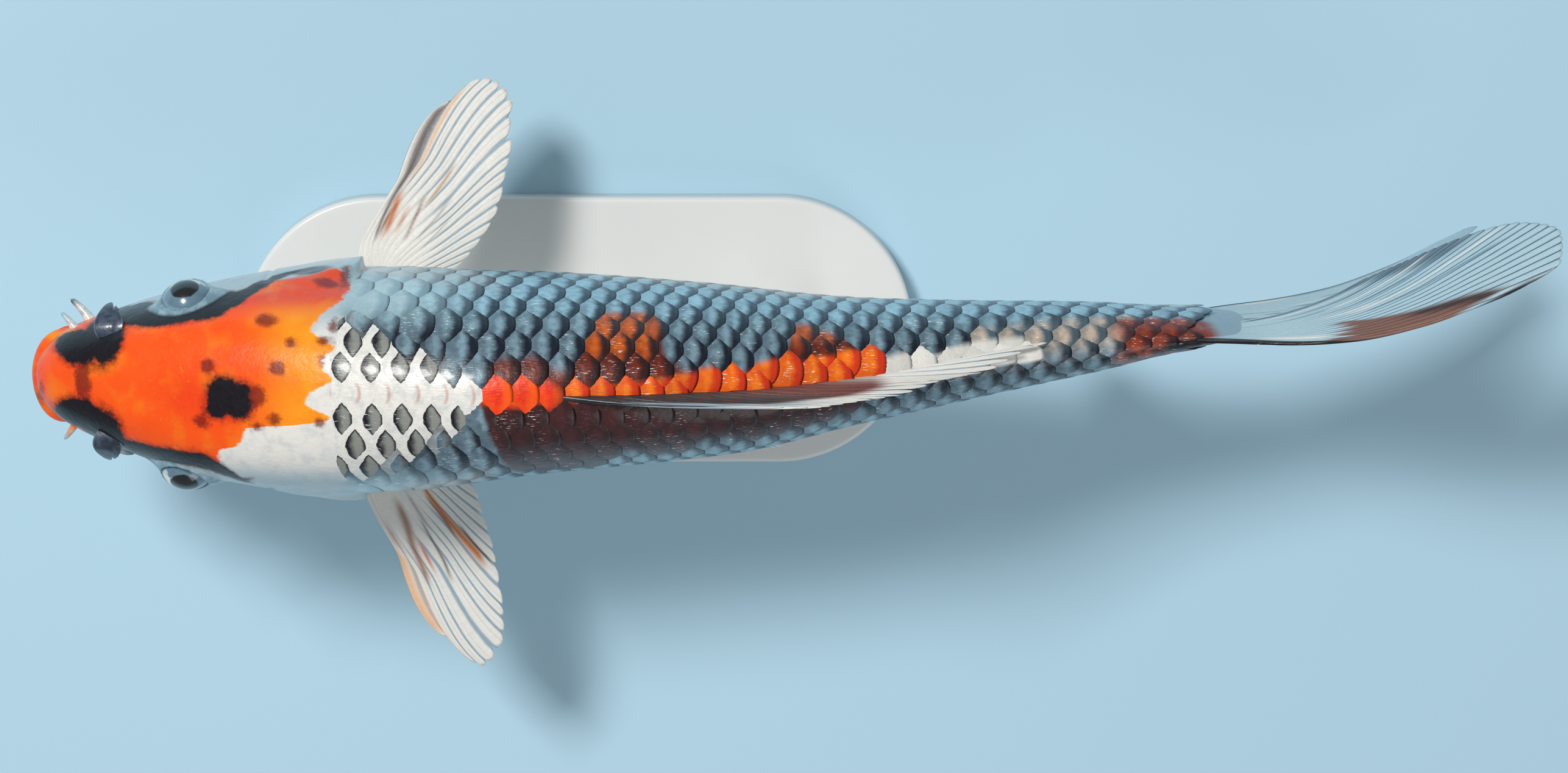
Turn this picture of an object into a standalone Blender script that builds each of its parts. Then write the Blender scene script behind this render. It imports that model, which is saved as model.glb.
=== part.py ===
"""A koi carp at life size, swimming, as a still model on a plain display stand.

Metres, +Z up. The fish faces -X and its right side is towards +Y. The origin is the centre of the
underside of the stand's base. The body is one loft through a few named stations, parted into
lengths by thin cuts. Fins, lips, barbels and rods run into it and are trimmed to its surface.
"""

import math

import bmesh
import bpy
import numpy as np
from mathutils import Matrix, Vector

# Driving dimensions.
BODY_LENGTH = 0.252  # snout to the root of the tail fin
AXIS_HEIGHT = 0.070  # the fish's long axis above the ground
BALANCE = 0.45  # station of the body that stands over the origin
GAP = 0.0003  # between neighbouring solids
SNOUT_X = -BALANCE * BODY_LENGTH

# The flesh, as shares of BODY_LENGTH: station, half width, back, belly, height of the widest
# line, and the exponent of the section, where 2 is an ellipse and more is fuller.
BODY = np.array([
    (0.000, 0.0000, -0.0080, -0.0120, -0.0100, 2.2),
    (0.006, 0.0215, 0.0090, -0.0330, -0.0150, 2.2),
    (0.024, 0.0385, 0.0260, -0.0470, -0.0180, 2.4),
    (0.052, 0.0510, 0.0430, -0.0600, -0.0200, 2.6),
    (0.104, 0.0690, 0.0700, -0.0800, -0.0220, 2.8),
    (0.155, 0.0820, 0.0910, -0.0970, -0.0230, 2.8),
    (0.206, 0.0895, 0.1080, -0.1110, -0.0220, 2.7),
    (0.257, 0.0930, 0.1220, -0.1220, -0.0180, 2.5),
    (0.308, 0.0930, 0.1330, -0.1300, -0.0110, 2.3),
    (0.385, 0.0869, 0.1420, -0.1370, -0.0040, 2.1),
    (0.488, 0.0787, 0.1400, -0.1360, 0.0000, 2.1),
    (0.590, 0.0690, 0.1270, -0.1230, 0.0000, 2.1),
    (0.693, 0.0520, 0.1050, -0.0990, 0.0000, 2.1),
    (0.795, 0.0397, 0.0800, -0.0730, 0.0000, 2.1),
    (0.898, 0.0275, 0.0600, -0.0540, 0.0000, 2.1),
    (0.949, 0.0190, 0.0540, -0.0500, 0.0000, 2.1),
    (1.000, 0.0125, 0.0580, -0.0540, 0.0000, 2.1),
])
# How far the spine is carried to the fish's right, at stations that run on into the tail fin.
SWAY = np.array([
    (0.000, -0.0026), (0.080, -0.0052), (0.180, -0.0072), (0.270, -0.0066), (0.360, -0.0030),
    (0.440, 0.0014), (0.590, 0.0040), (0.693, 0.0114), (0.795, 0.0214), (0.898, 0.0320),
    (1.000, 0.0415), (1.050, 0.0440), (1.100, 0.0500), (1.154, 0.0647), (1.206, 0.0861),
    (1.257, 0.1085), (1.300, 0.1280),
])
TWIST = math.radians(4)  # the tail leans its top to the fish's left
TWIST_START, TWIST_END = 0.78, 1.0
LAST_STATION = 1.30

SIDES = {"left": -1, "right": 1}
# Where the body is parted.
CUTS = {
    "head": (0.0, 0.268),
    "trunk_front": (0.268, 0.50),
    "trunk_rear": (0.50, 0.80),
    "tail_stalk": (0.80, 1.0),
}
AROUND = 26
RINGS = 40

# Head.
EYE = {"station": 0.133, "across": 0.0170, "up": 0.0058, "radius": 0.0060, "flat": 0.92}
LIP_WIDTH, LIP_DEPTH = 0.0098, 0.0062
GILL_SLOTS = {"left": "skin", "right": "head"}
FIN_THICKNESS = 0.0010
# Each barbel's root and tip as metres behind the snout, out and up, then its bow and root radius.
BARBELS = {
    "left": {
        "front": ((0.0088, 0.0098, -0.0018), (0.0056, 0.0142, -0.0034), 0.0002, 0.0007),
        "rear": ((0.0105, 0.0100, -0.0085), (0.0200, 0.0182, -0.0112), 0.0026, 0.0009),
    },
    "right": {
        "front": ((0.0088, 0.0098, -0.0018), (0.0056, 0.0132, -0.0030), 0.0002, 0.0007),
        "rear": ((0.0118, 0.0098, -0.0080), (0.0068, 0.0152, -0.0094), 0.0006, 0.0009),
    },
}

# Stand.
BASE_LENGTH, BASE_WIDTH, BASE_THICKNESS = 0.150, 0.060, 0.008
ROD_RADIUS = 0.0025
ROD_STATIONS = {"front": 0.33, "rear": 0.67}

COLOURS = {  # red, green, blue, roughness, metallic
    "skin": (0.78, 0.80, 0.80, 0.35, 0.0),
    "head": (0.90, 0.22, 0.03, 0.35, 0.0),
    "scales": (0.33, 0.40, 0.46, 0.35, 0.1),
    "fin": (0.88, 0.88, 0.86, 0.45, 0.0),
    "dark": (0.05, 0.05, 0.07, 0.45, 0.0),
    "eye": (0.03, 0.03, 0.04, 0.08, 0.0),
    "base": (0.80, 0.80, 0.78, 0.50, 0.0),
    "steel": (0.60, 0.61, 0.62, 0.30, 1.0),
}


def clear_scene():
    for obj in list(bpy.data.objects):
        bpy.data.objects.remove(obj)


def collection(name):
    made = bpy.data.collections.new(name)
    bpy.context.scene.collection.children.link(made)
    return made


def material(slot):
    made = bpy.data.materials.get(slot)
    if made is None:
        red, green, blue, roughness, metallic = COLOURS[slot]
        made = bpy.data.materials.new(slot)
        made.use_nodes = True
        shader = made.node_tree.nodes["Principled BSDF"]
        shader.inputs["Base Color"].default_value = (red, green, blue, 1)
        shader.inputs["Roughness"].default_value = roughness
        shader.inputs["Metallic"].default_value = metallic
    return made


def smooth_curve(table_x, table_y, x):
    """A curve through the table's points that never overshoots them (monotone cubic)."""
    step = np.diff(table_x)
    rise = np.diff(table_y) / step
    inner = np.where(rise[:-1] * rise[1:] > 0, 2 * rise[:-1] * rise[1:] / (rise[:-1] + rise[1:] + 1e-12), 0)
    slope = np.concatenate([[rise[0]], inner, [rise[-1]]])
    i = int(np.clip(np.searchsorted(table_x, x) - 1, 0, len(step) - 1))
    t = (x - table_x[i]) / step[i]
    return (
        (1 + 2 * t) * (1 - t) ** 2 * table_y[i] + t * (1 - t) ** 2 * step[i] * slope[i]
        + t * t * (3 - 2 * t) * table_y[i + 1] + t * t * (t - 1) * step[i] * slope[i + 1]
    )


def profile(station):
    """Half width, back, belly, widest line (metres) and fullness. The square root rounds the snout."""
    root = math.sqrt(min(max(station, 0.0), 1.0))
    half, back, belly, widest, full = (
        smooth_curve(np.sqrt(BODY[:, 0]), BODY[:, i], root) for i in range(1, 6)
    )
    return half * BODY_LENGTH, back * BODY_LENGTH, belly * BODY_LENGTH, widest * BODY_LENGTH, full


def spine_frame(station):
    """The spine's point, and the unit vectors along (tailwards), across (right) and up there."""
    station = min(station, LAST_STATION)
    side = smooth_curve(SWAY[:, 0], SWAY[:, 1], station)
    ahead = smooth_curve(SWAY[:, 0], SWAY[:, 1], min(station + 0.01, LAST_STATION))
    behind = smooth_curve(SWAY[:, 0], SWAY[:, 1], max(station - 0.01, 0.0))
    heading = math.atan2(ahead - behind, 0.02)
    t = min(max((station - TWIST_START) / (TWIST_END - TWIST_START), 0), 1)
    roll = TWIST * t * t * (3 - 2 * t)
    point = Vector((SNOUT_X + station * BODY_LENGTH, side * BODY_LENGTH, AXIS_HEIGHT))
    along = Vector((math.cos(heading), math.sin(heading), 0))
    level = Vector((-math.sin(heading), math.cos(heading), 0))
    across = level * math.cos(roll) + Vector((0, 0, math.sin(roll)))
    up = -level * math.sin(roll) + Vector((0, 0, math.cos(roll)))
    return point, along, across, up


def signed_power(value, power):
    return math.copysign(abs(value) ** power, value)


def body_point(station, angle, lift=0.0):
    """A point on the flesh, or lift above it. The angle runs from the back round the right side."""
    half, back, belly, widest, full = profile(station)
    point, _, across, up = spine_frame(station)
    rise = back - widest if math.cos(angle) > 0 else widest - belly
    side = (half + lift) * signed_power(math.sin(angle), 2 / full)
    height = widest + (rise + lift) * signed_power(math.cos(angle), 2 / full)
    return point + across * side + up * height


def in_frame(station, across_by, up_by):
    """A point given by its station and its metres across and up from the spine."""
    point, _, across, up = spine_frame(station)
    return point + across * across_by + up * up_by


def add_object(name, mesh, slot, where):
    mesh.materials.append(material(slot))
    mesh.shade_smooth()
    mesh.set_sharp_from_angle(angle=math.radians(50))
    obj = bpy.data.objects.new(name, mesh)
    where.objects.link(obj)
    return obj


def mesh_of(name, bm):
    bmesh.ops.recalc_face_normals(bm, faces=bm.faces)
    mesh = bpy.data.meshes.new(name)
    bm.to_mesh(mesh)
    bm.free()
    return mesh


def as_cutter(obj):
    obj.hide_render = True
    obj.display_type = "WIRE"
    return obj


def cut_by(obj, *cutters):
    for cutter in cutters:
        boolean = obj.modifiers.new("cut by " + cutter.name, "BOOLEAN")
        boolean.operation = "DIFFERENCE"
        boolean.object = cutter
    return obj


def bridge(bm, lower, upper):
    count = len(lower)
    for i in range(count):
        j = (i + 1) % count
        bm.faces.new((lower[i], lower[j], upper[j], upper[i]))


def body_loft(name, start, end, slot, where, lift=0.0):
    """A closed length of the body: rings that close up towards the snout."""
    steps = max(3, round(RINGS * (math.sqrt(end) - math.sqrt(start))))
    roots = np.linspace(math.sqrt(start), math.sqrt(end), steps + 1)
    bm = bmesh.new()
    rings = []
    for root in roots[1:] if start == 0 else roots:
        angles = np.arange(AROUND) * 2 * math.pi / AROUND
        rings.append([bm.verts.new(body_point(root * root, a, lift)) for a in angles])
    for lower, upper in zip(rings, rings[1:]):
        bridge(bm, lower, upper)
    if start == 0:
        tip = bm.verts.new(in_frame(0, 0, profile(0)[3]) - Vector((lift, 0, 0)))
        for i in range(AROUND):
            bm.faces.new((tip, rings[0][i], rings[0][(i + 1) % AROUND]))
    else:
        bm.faces.new(rings[0])
    bm.faces.new(rings[-1])
    return add_object(name, mesh_of(name, bm), slot, where)


def eye_ball(name, side, extra, slot, where):
    """A slightly flattened ball, extra metres larger all round for a socket."""
    bm = bmesh.new()
    radius = EYE["radius"] + extra
    bmesh.ops.create_uvsphere(bm, u_segments=16, v_segments=10, radius=radius)
    bmesh.ops.scale(bm, vec=(1, EYE["flat"], 1), verts=bm.verts)
    centre = in_frame(EYE["station"], side * EYE["across"], EYE["up"])
    bmesh.ops.translate(bm, vec=centre, verts=bm.verts)
    return add_object(name, mesh_of(name, bm), slot, where)


def gill_cover(name, side, margin, slot, where):
    """A shield that lies on the cheek and stands off the shoulder at its hind edge."""
    middle, reach = 0.222, 0.058
    high, low = math.radians(56), math.radians(128)
    rings, spokes = 5, 24
    bm = bmesh.new()

    def spot(ring, spoke, outer):
        r, turn = ring / rings * (1 + margin / 0.012), 2 * math.pi * spoke / spokes
        hindward = r * signed_power(math.cos(turn), 0.85)
        angle = (high + low) / 2 + (low - high) / 2 * r * signed_power(math.sin(turn), 0.85)
        stand_off = 0.0021 * ((1 + hindward) / 2) ** 1.6 * (1 - 0.5 * min(r, 1) ** 6 * abs(math.sin(turn)))
        lift = GAP + margin + 0.0005 + stand_off if outer else GAP - 2 * margin
        return bm.verts.new(body_point(middle + reach * hindward, side * angle, lift))

    def face_disc(outer):
        hub = spot(0, 0, outer)
        loops = [[spot(r, s, outer) for s in range(spokes)] for r in range(1, rings + 1)]
        for i in range(spokes):
            bm.faces.new((hub, loops[0][i], loops[0][(i + 1) % spokes]))
        for lower, upper in zip(loops, loops[1:]):
            bridge(bm, lower, upper)
        return loops[-1]

    bridge(bm, face_disc(False), face_disc(True))
    return add_object(name, mesh_of(name, bm), slot, where)


def tube(name, points, radii, slot, where):
    """A round tube through a few points, as a mesh with its caps closed."""
    curve = bpy.data.curves.new(name, "CURVE")
    curve.dimensions = "3D"
    curve.bevel_depth = 1.0
    curve.bevel_resolution = 2
    curve.use_fill_caps = True
    spline = curve.splines.new("POLY")
    spline.points.add(len(points) - 1)
    for spot, point, radius in zip(spline.points, points, radii):
        spot.co = (*point, 1)
        spot.radius = radius
    holder = bpy.data.objects.new(name + "_curve", curve)
    where.objects.link(holder)
    bpy.context.view_layer.update()
    evaluated = holder.evaluated_get(bpy.context.evaluated_depsgraph_get())
    bm = bmesh.new()
    bm.from_mesh(bpy.data.meshes.new_from_object(evaluated))
    bmesh.ops.remove_doubles(bm, verts=bm.verts, dist=1e-6)
    bpy.data.objects.remove(holder)
    return add_object(name, mesh_of(name, bm), slot, where)


def bowed(start, end, bow, count):
    """Points on a shallow arc from start to end, bow metres off the straight line at the middle."""
    shares = np.linspace(0, 1, count)
    return [start.lerp(end, t) + bow * 4 * t * (1 - t) for t in shares]


def lip(name, low, back, width, radius, where):
    """A horseshoe round the front of the snout, thinner towards the corners of the mouth."""
    points, radii = [], []
    for t in np.linspace(-1, 1, 13):
        x = SNOUT_X + back + LIP_DEPTH * t * t
        z = AXIS_HEIGHT + low - 0.0016 * t * t
        points.append(Vector((x, SWAY[0, 1] * BODY_LENGTH + width * math.sin(t * math.pi / 2), z)))
        radii.append(radius * (1 - 0.35 * t**4))
    return tube(name, points, radii, "head", where)


def sheet_fin(name, spot, rays, steps, slot, where, thickness=FIN_THICKNESS):
    """A fin as an open sheet, thickened. spot(u, v) is the point v of the way out along ray u."""
    bm = bmesh.new()
    ways_out = np.linspace(0, 1, steps + 1)
    grid = [[bm.verts.new(spot(u, v)) for v in ways_out] for u in np.linspace(0, 1, rays + 1)]
    for first, second in zip(grid, grid[1:]):
        for i in range(steps):
            bm.faces.new((first[i], first[i + 1], second[i + 1], second[i]))
    obj = add_object(name, mesh_of(name, bm), slot, where)
    solid = obj.modifiers.new("thickness", "SOLIDIFY")
    solid.thickness = thickness
    solid.offset = 0
    return obj


def from_table(table, u):
    """The value at u of a curve given by (u, value) pairs."""
    xs, ys = zip(*table)
    return float(smooth_curve(np.array(xs), np.array(ys), u))


# Ray lengths over a fin, from its leading edge at 0 to its trailing edge at 1, in body lengths.
PECTORAL_RAYS = (
    (0, 0.163), (0.07, 0.194), (0.14, 0.202), (0.22, 0.194), (0.33, 0.171), (0.5, 0.138),
    (0.68, 0.110), (0.84, 0.084), (1, 0.060),
)
DORSAL_RAYS = ((0, 0.180), (0.05, 0.198), (0.2, 0.178), (0.4, 0.155), (0.6, 0.132), (0.8, 0.110), (1, 0.084))
PELVIC_RAYS = ((0, 0.130), (0.2, 0.158), (0.6, 0.125), (1, 0.060))
ANAL_RAYS = ((0, 0.085), (0.15, 0.100), (0.5, 0.070), (1, 0.040))
TAIL_RAYS = ((0, 0.170), (0.05, 0.275), (0.12, 0.320), (0.25, 0.316), (0.4, 0.283), (0.7, 0.205), (1, 0.150))
PECTORAL_DROOP = {1: math.radians(20), -1: math.radians(4)}
PECTORAL_LEAD = {1: math.radians(24), -1: math.radians(22)}  # back from straight out
PECTORAL_FAN = {1: math.radians(58), -1: math.radians(51)}
PECTORAL_SCALE = {1: 1.07, -1: 1.12}
TAIL_SCALE = {1: 1.0, -1: 0.87}
TAIL_CUP = {1: 0.080, -1: 0.010}  # how far the soft middle of each tail lobe trails to the right


def pectoral_spot(side):
    """Spread out flat from low behind the gill cover, with rays that bow forward, then sweep back."""
    droop = PECTORAL_DROOP[side]

    def spot(u, v):
        root = body_point(0.277 + 0.014 * u, side * math.radians(128 + 6 * u), -0.0030)
        turn = PECTORAL_LEAD[side] + PECTORAL_FAN[side] * u**0.92
        turn -= 0.42 * (1 - v) ** 2.5 * (1 - u) + 0.08 * math.sin(math.pi * v)
        reach = from_table(PECTORAL_RAYS, u) * PECTORAL_SCALE[side] * BODY_LENGTH * v
        back = math.sin(turn) * reach
        out = math.cos(turn) * reach
        cup = 0.0022 * math.sin(math.pi * u) * v
        return root + Vector((back, side * out * math.cos(droop), cup - out * math.sin(droop)))

    return spot


def dorsal_spot(u, v):
    """Folded back along the ridge, lying to the fish's left in front and to its right behind."""
    station = 0.436 + 0.342 * u
    root = body_point(station, 0, -0.0015)
    back = (body_point(station + 0.01, 0) - body_point(station - 0.01, 0)).normalized()
    _, _, across, up = spine_frame(station)
    turn = min(max((u - 0.7) / 0.3, 0), 1)
    lean = math.radians(16 - 52 * turn * turn * (3 - 2 * turn))
    rise = up * math.cos(lean) - across * math.sin(lean)
    lift = math.radians(15.5 - 3 * u)
    reach = from_table(DORSAL_RAYS, u) * BODY_LENGTH * v
    settle = -0.16 * reach * v
    return root + back * reach * math.cos(lift) + rise * (reach * math.sin(lift) + settle + 0.0030 * v)


def pelvic_spot(side, spread, drop):
    """A small paddle under the belly, swept back. spread and drop are its tip's, as slopes."""

    def spot(u, v):
        root = body_point(0.487 + 0.020 * u, side * math.radians(152 + 6 * u), -0.0025)
        reach = from_table(PELVIC_RAYS, u) * BODY_LENGTH * v
        fan = 0.25 - 0.62 * u
        direction = Vector((1.0, side * (spread + 0.30 * fan), -drop - 0.75 * fan)).normalized()
        return root + direction * reach

    return spot


def anal_spot(u, v):
    """Behind the vent, swept back and a little open."""
    station = 0.795 + 0.072 * u
    root = body_point(station, math.pi, -0.0020)
    _, along, _, up = spine_frame(station)
    turn = math.radians(58 - 20 * u)
    reach = from_table(ANAL_RAYS, u) * BODY_LENGTH * v
    return root + along * reach * math.cos(turn) - up * reach * math.sin(turn)


def tail_spot(half):
    """One lobe of the tail fin, laid out by station and height, so it follows the spine's sway."""
    root_height = 0.056 if half > 0 else 0.052

    def spot(u, v):
        reach = from_table(TAIL_RAYS, u) * TAIL_SCALE[half] * v
        turn = math.radians(27) * (1 - u) ** 0.8
        station = 0.975 + reach * math.cos(turn)
        middle = 0.0024 * u
        height = root_height * (1 - u) + reach * math.sin(turn) - 0.028 * v * v * (1 - u) + middle
        trail = TAIL_CUP[half] * math.sin(math.pi / 2 * u) * (max(station - 1, 0) / 0.27) ** 1.5
        return in_frame(station, trail * BODY_LENGTH, half * height * BODY_LENGTH)

    return spot


def nostril_spot(side):
    """A leaf of skin that stands up over the nostril and lies outwards."""

    def spot(u, v):
        width = 0.0042 * math.sin(math.pi * min(0.12 + 0.80 * v, 1)) ** 0.7
        root = body_point(0.066, side * math.radians(43), -0.0010)
        out = body_point(0.070, side * math.radians(78), 0.0024)
        middle = root.lerp(out, v) + Vector((-0.0008 * v, 0, 0.0042 * math.sin(math.pi * 0.75 * v)))
        return middle + Vector((width * (u - 0.5), side * 0.0006 * (u - 0.5), 0.0008 * (u - 0.5)))

    return spot


def barbel(name, start, end, bow, radius, where):
    points = bowed(start, end, bow, 8)
    radii = [radius * (1 - 0.62 * t) for t in np.linspace(0, 1, len(points))]
    return tube(name, points, radii, "fin", where)


def stand(where, flesh):
    """A flat base with round ends, and two rods up to the belly."""
    outline = bpy.data.curves.new("stand_base", "CURVE")
    outline.dimensions = "2D"
    outline.fill_mode = "BOTH"
    outline.extrude = BASE_THICKNESS / 2 - 0.0008
    outline.bevel_depth = 0.0008
    outline.bevel_resolution = 1
    straight = BASE_LENGTH / 2 - BASE_WIDTH / 2
    spline = outline.splines.new("POLY")
    corners = []
    for end in (1, -1):
        for turn in np.linspace(-math.pi / 2, math.pi / 2, 17):
            radius = BASE_WIDTH / 2 - outline.bevel_depth
            corners.append((end * (straight + radius * math.cos(turn)), end * radius * math.sin(turn)))
    spline.points.add(len(corners) - 1)
    for spot, (x, y) in zip(spline.points, corners):
        spot.co = (x, y, 0, 1)
    spline.use_cyclic_u = True
    base = bpy.data.objects.new("stand_base", outline)
    base.location.z = BASE_THICKNESS / 2
    outline.materials.append(material("base"))
    where.objects.link(base)

    for end, station in ROD_STATIONS.items():
        foot, _, _, _ = spine_frame(station)
        low, high = BASE_THICKNESS + GAP, AXIS_HEIGHT - 0.020
        bm = bmesh.new()
        bmesh.ops.create_cone(
            bm, cap_ends=True, segments=20, radius1=ROD_RADIUS, radius2=ROD_RADIUS, depth=high - low,
            matrix=Matrix.Translation((foot.x, foot.y, (low + high) / 2)),
        )
        cut_by(add_object("stand_rod_" + end, mesh_of("stand_rod_" + end, bm), "steel", where), flesh)


def head_parts(where, helpers, flesh):
    sockets = [eye_ball("socket_" + name, side, GAP, "dark", helpers) for name, side in SIDES.items()]
    cut_by(bpy.data.objects["head"], *map(as_cutter, sockets))
    centre_y = SWAY[0, 1] * BODY_LENGTH
    cut_by(lip("upper_lip", -0.0038, 0.0010, LIP_WIDTH, 0.0020, where), flesh)
    cut_by(lip("lower_lip", -0.0079, 0.0020, LIP_WIDTH + 0.0003, 0.0018, where), flesh)
    for name, side in SIDES.items():
        eye_ball("eye_" + name, side, 0, "eye", where)
        gill_cover("gill_cover_" + name, side, 0, GILL_SLOTS[name], where)
        flap = sheet_fin("nostril_flap_" + name, nostril_spot(side), 4, 6, "dark", where, 0.0006)
        cut_by(flap, flesh)
        for place, (*ends, bow, radius) in BARBELS[name].items():
            start, end = (Vector((SNOUT_X + x, side * y + centre_y, AXIS_HEIGHT + z)) for x, y, z in ends)
            whisker = barbel(f"barbel_{place}_{name}", start, end, Vector((0, side * bow, 0)), radius, where)
            cut_by(whisker, flesh)


def fins(where, helpers, flesh):
    for name, side in SIDES.items():
        shield = as_cutter(gill_cover("gill_clearance_" + name, side, 0.0006, "dark", helpers))
        pectoral = sheet_fin("pectoral_fin_" + name, pectoral_spot(side), 14, 9, "fin", where)
        cut_by(pectoral, flesh, shield)
    cut_by(sheet_fin("pelvic_fin_left", pelvic_spot(-1, 0.42, 0.26), 8, 6, "fin", where), flesh)
    cut_by(sheet_fin("pelvic_fin_right", pelvic_spot(1, -0.04, 0.26), 8, 6, "fin", where), flesh)
    cut_by(sheet_fin("dorsal_fin", dorsal_spot, 22, 5, "fin", where, 0.0014), flesh)
    cut_by(sheet_fin("anal_fin", anal_spot, 8, 5, "fin", where), flesh)
    cut_by(sheet_fin("tail_fin_upper", tail_spot(1), 14, 9, "fin", where), flesh)
    cut_by(sheet_fin("tail_fin_lower", tail_spot(-1), 14, 9, "fin", where), flesh)


def main():
    clear_scene()
    parts = collection("koi_carp")
    helpers = collection("cutters")
    flesh = as_cutter(body_loft("flesh", 0.0, 1.0, "dark", helpers, GAP))
    half_gap = GAP / 2 / BODY_LENGTH
    for name, (start, end) in CUTS.items():
        first = start + half_gap if start else 0.0
        last = end - half_gap if end < 1 else 1.0
        body_loft(name, first, last, "head" if name == "head" else "scales", parts)
    head_parts(parts, helpers, flesh)
    fins(parts, helpers, flesh)
    stand(parts, flesh)


main()
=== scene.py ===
"""The looks of a koi carp at life size, swimming, on a plain display stand.

The skin, scales and fins repeat the surface that part.py makes the solids from. A place on the body
is a station, from 0 at the snout to 1 at the root of the tail fin, and a ring, from 0 on the ridge
of the back through 1 at the lateral line to 2 on the belly, negative on the fish's left.
"""

import math

import bpy
import numpy as np
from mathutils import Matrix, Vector


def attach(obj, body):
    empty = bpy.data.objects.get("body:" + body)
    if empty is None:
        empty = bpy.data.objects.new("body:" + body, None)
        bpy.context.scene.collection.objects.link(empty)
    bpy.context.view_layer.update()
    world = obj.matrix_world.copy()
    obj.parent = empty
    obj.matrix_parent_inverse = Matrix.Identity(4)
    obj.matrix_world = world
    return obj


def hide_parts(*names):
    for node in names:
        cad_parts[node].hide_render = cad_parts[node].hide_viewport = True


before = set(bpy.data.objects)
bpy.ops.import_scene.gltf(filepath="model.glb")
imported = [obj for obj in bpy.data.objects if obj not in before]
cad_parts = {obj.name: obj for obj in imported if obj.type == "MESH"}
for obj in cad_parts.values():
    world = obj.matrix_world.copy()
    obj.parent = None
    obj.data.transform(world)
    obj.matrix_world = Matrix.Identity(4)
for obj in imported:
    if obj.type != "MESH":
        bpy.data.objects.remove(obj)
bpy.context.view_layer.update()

# The same driving dimensions as the solids', in metres.
BODY_LENGTH = 0.252
AXIS_HEIGHT = 0.070
SNOUT_X = -0.45 * BODY_LENGTH

# The flesh, as shares of BODY_LENGTH: station, half width, back, belly, height of the widest
# line, and the exponent of the section.
BODY = np.array([
    (0.000, 0.0000, -0.0080, -0.0120, -0.0100, 2.2),
    (0.006, 0.0215, 0.0090, -0.0330, -0.0150, 2.2),
    (0.024, 0.0385, 0.0260, -0.0470, -0.0180, 2.4),
    (0.052, 0.0510, 0.0430, -0.0600, -0.0200, 2.6),
    (0.104, 0.0690, 0.0700, -0.0800, -0.0220, 2.8),
    (0.155, 0.0820, 0.0910, -0.0970, -0.0230, 2.8),
    (0.206, 0.0895, 0.1080, -0.1110, -0.0220, 2.7),
    (0.257, 0.0930, 0.1220, -0.1220, -0.0180, 2.5),
    (0.308, 0.0930, 0.1330, -0.1300, -0.0110, 2.3),
    (0.385, 0.0869, 0.1420, -0.1370, -0.0040, 2.1),
    (0.488, 0.0787, 0.1400, -0.1360, 0.0000, 2.1),
    (0.590, 0.0690, 0.1270, -0.1230, 0.0000, 2.1),
    (0.693, 0.0520, 0.1050, -0.0990, 0.0000, 2.1),
    (0.795, 0.0397, 0.0800, -0.0730, 0.0000, 2.1),
    (0.898, 0.0275, 0.0600, -0.0540, 0.0000, 2.1),
    (0.949, 0.0190, 0.0540, -0.0500, 0.0000, 2.1),
    (1.000, 0.0125, 0.0580, -0.0540, 0.0000, 2.1),
])
# How far to the right of its middle line the spine lies: station, share of BODY_LENGTH.
SWAY = np.array([
    (0.000, -0.0026), (0.080, -0.0052), (0.180, -0.0072), (0.270, -0.0066), (0.360, -0.0030),
    (0.440, 0.0014), (0.590, 0.0040), (0.693, 0.0114), (0.795, 0.0214), (0.898, 0.0320),
    (1.000, 0.0415), (1.050, 0.0440), (1.100, 0.0500), (1.154, 0.0647), (1.206, 0.0861),
    (1.257, 0.1085), (1.300, 0.1280),
])
SNOUT_Y = SWAY[0, 1] * BODY_LENGTH
TWIST = math.radians(4)
TWIST_START, TWIST_END = 0.78, 1.0
LAST_STATION = 1.30
SWAY_STEP = 0.01  # to either side, for the spine's heading
SIDES = {"left": -1, "right": 1}

EYE = {"station": 0.133, "across": 0.0170, "up": 0.0058, "radius": 0.0060, "flat": 0.92}
LIP_WIDTH, LIP_DEPTH = 0.0098, 0.0062
LIP_RIGHT = 0.86  # how much narrower the mouth is on the fish's right
LIP_DROP = 0.0021  # how much lower its corners lie than its middle
LIP_TAPER, LIP_TAPER_POWER = 0.58, 3.2  # of its radius, lost towards the corners
# Each lip's height off the axis, distance behind the snout, half width and radius.
LIPS = {
    "upper": (-0.0038, 0.0010, LIP_WIDTH, 0.0020),
    "lower": (-0.0079, 0.0020, LIP_WIDTH + 0.0003, 0.0018),
}


# ---------------------------------------------------------------------------------------------
# The body's surface


def smooth_step(value, low, high):
    """0 below low, 1 above high, and smooth between."""
    t = np.clip((np.asarray(value, float) - low) / (high - low), 0, 1)
    return t * t * (3 - 2 * t)


def hump(value, width):
    """1 where value is 0, fading to 0 a few widths to either side."""
    return np.exp(-((value / width) ** 2))


def smooth_curve(table_x, table_y, x):
    """A curve through the table's points that never overshoots them (monotone cubic)."""
    step = np.diff(table_x)
    rise = np.diff(table_y) / step
    inner = np.where(rise[:-1] * rise[1:] > 0, 2 * rise[:-1] * rise[1:] / (rise[:-1] + rise[1:] + 1e-12), 0)
    slope = np.concatenate([[rise[0]], inner, [rise[-1]]])
    i = np.clip(np.searchsorted(table_x, x) - 1, 0, len(step) - 1)
    t = (x - table_x[i]) / step[i]
    return (
        (1 + 2 * t) * (1 - t) ** 2 * table_y[i] + t * (1 - t) ** 2 * step[i] * slope[i]
        + t * t * (3 - 2 * t) * table_y[i + 1] + t * t * (t - 1) * step[i] * slope[i + 1]
    )


def from_table(table, x):
    """The values at x of a curve given by (x, value) pairs, level beyond its ends."""
    xs, ys = np.array(table, float).T
    return smooth_curve(xs, ys, np.clip(x, xs[0], xs[-1]))


def signed_power(value, power):
    """A power that keeps the value's sign."""
    return np.sign(value) * np.abs(value) ** power


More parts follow.
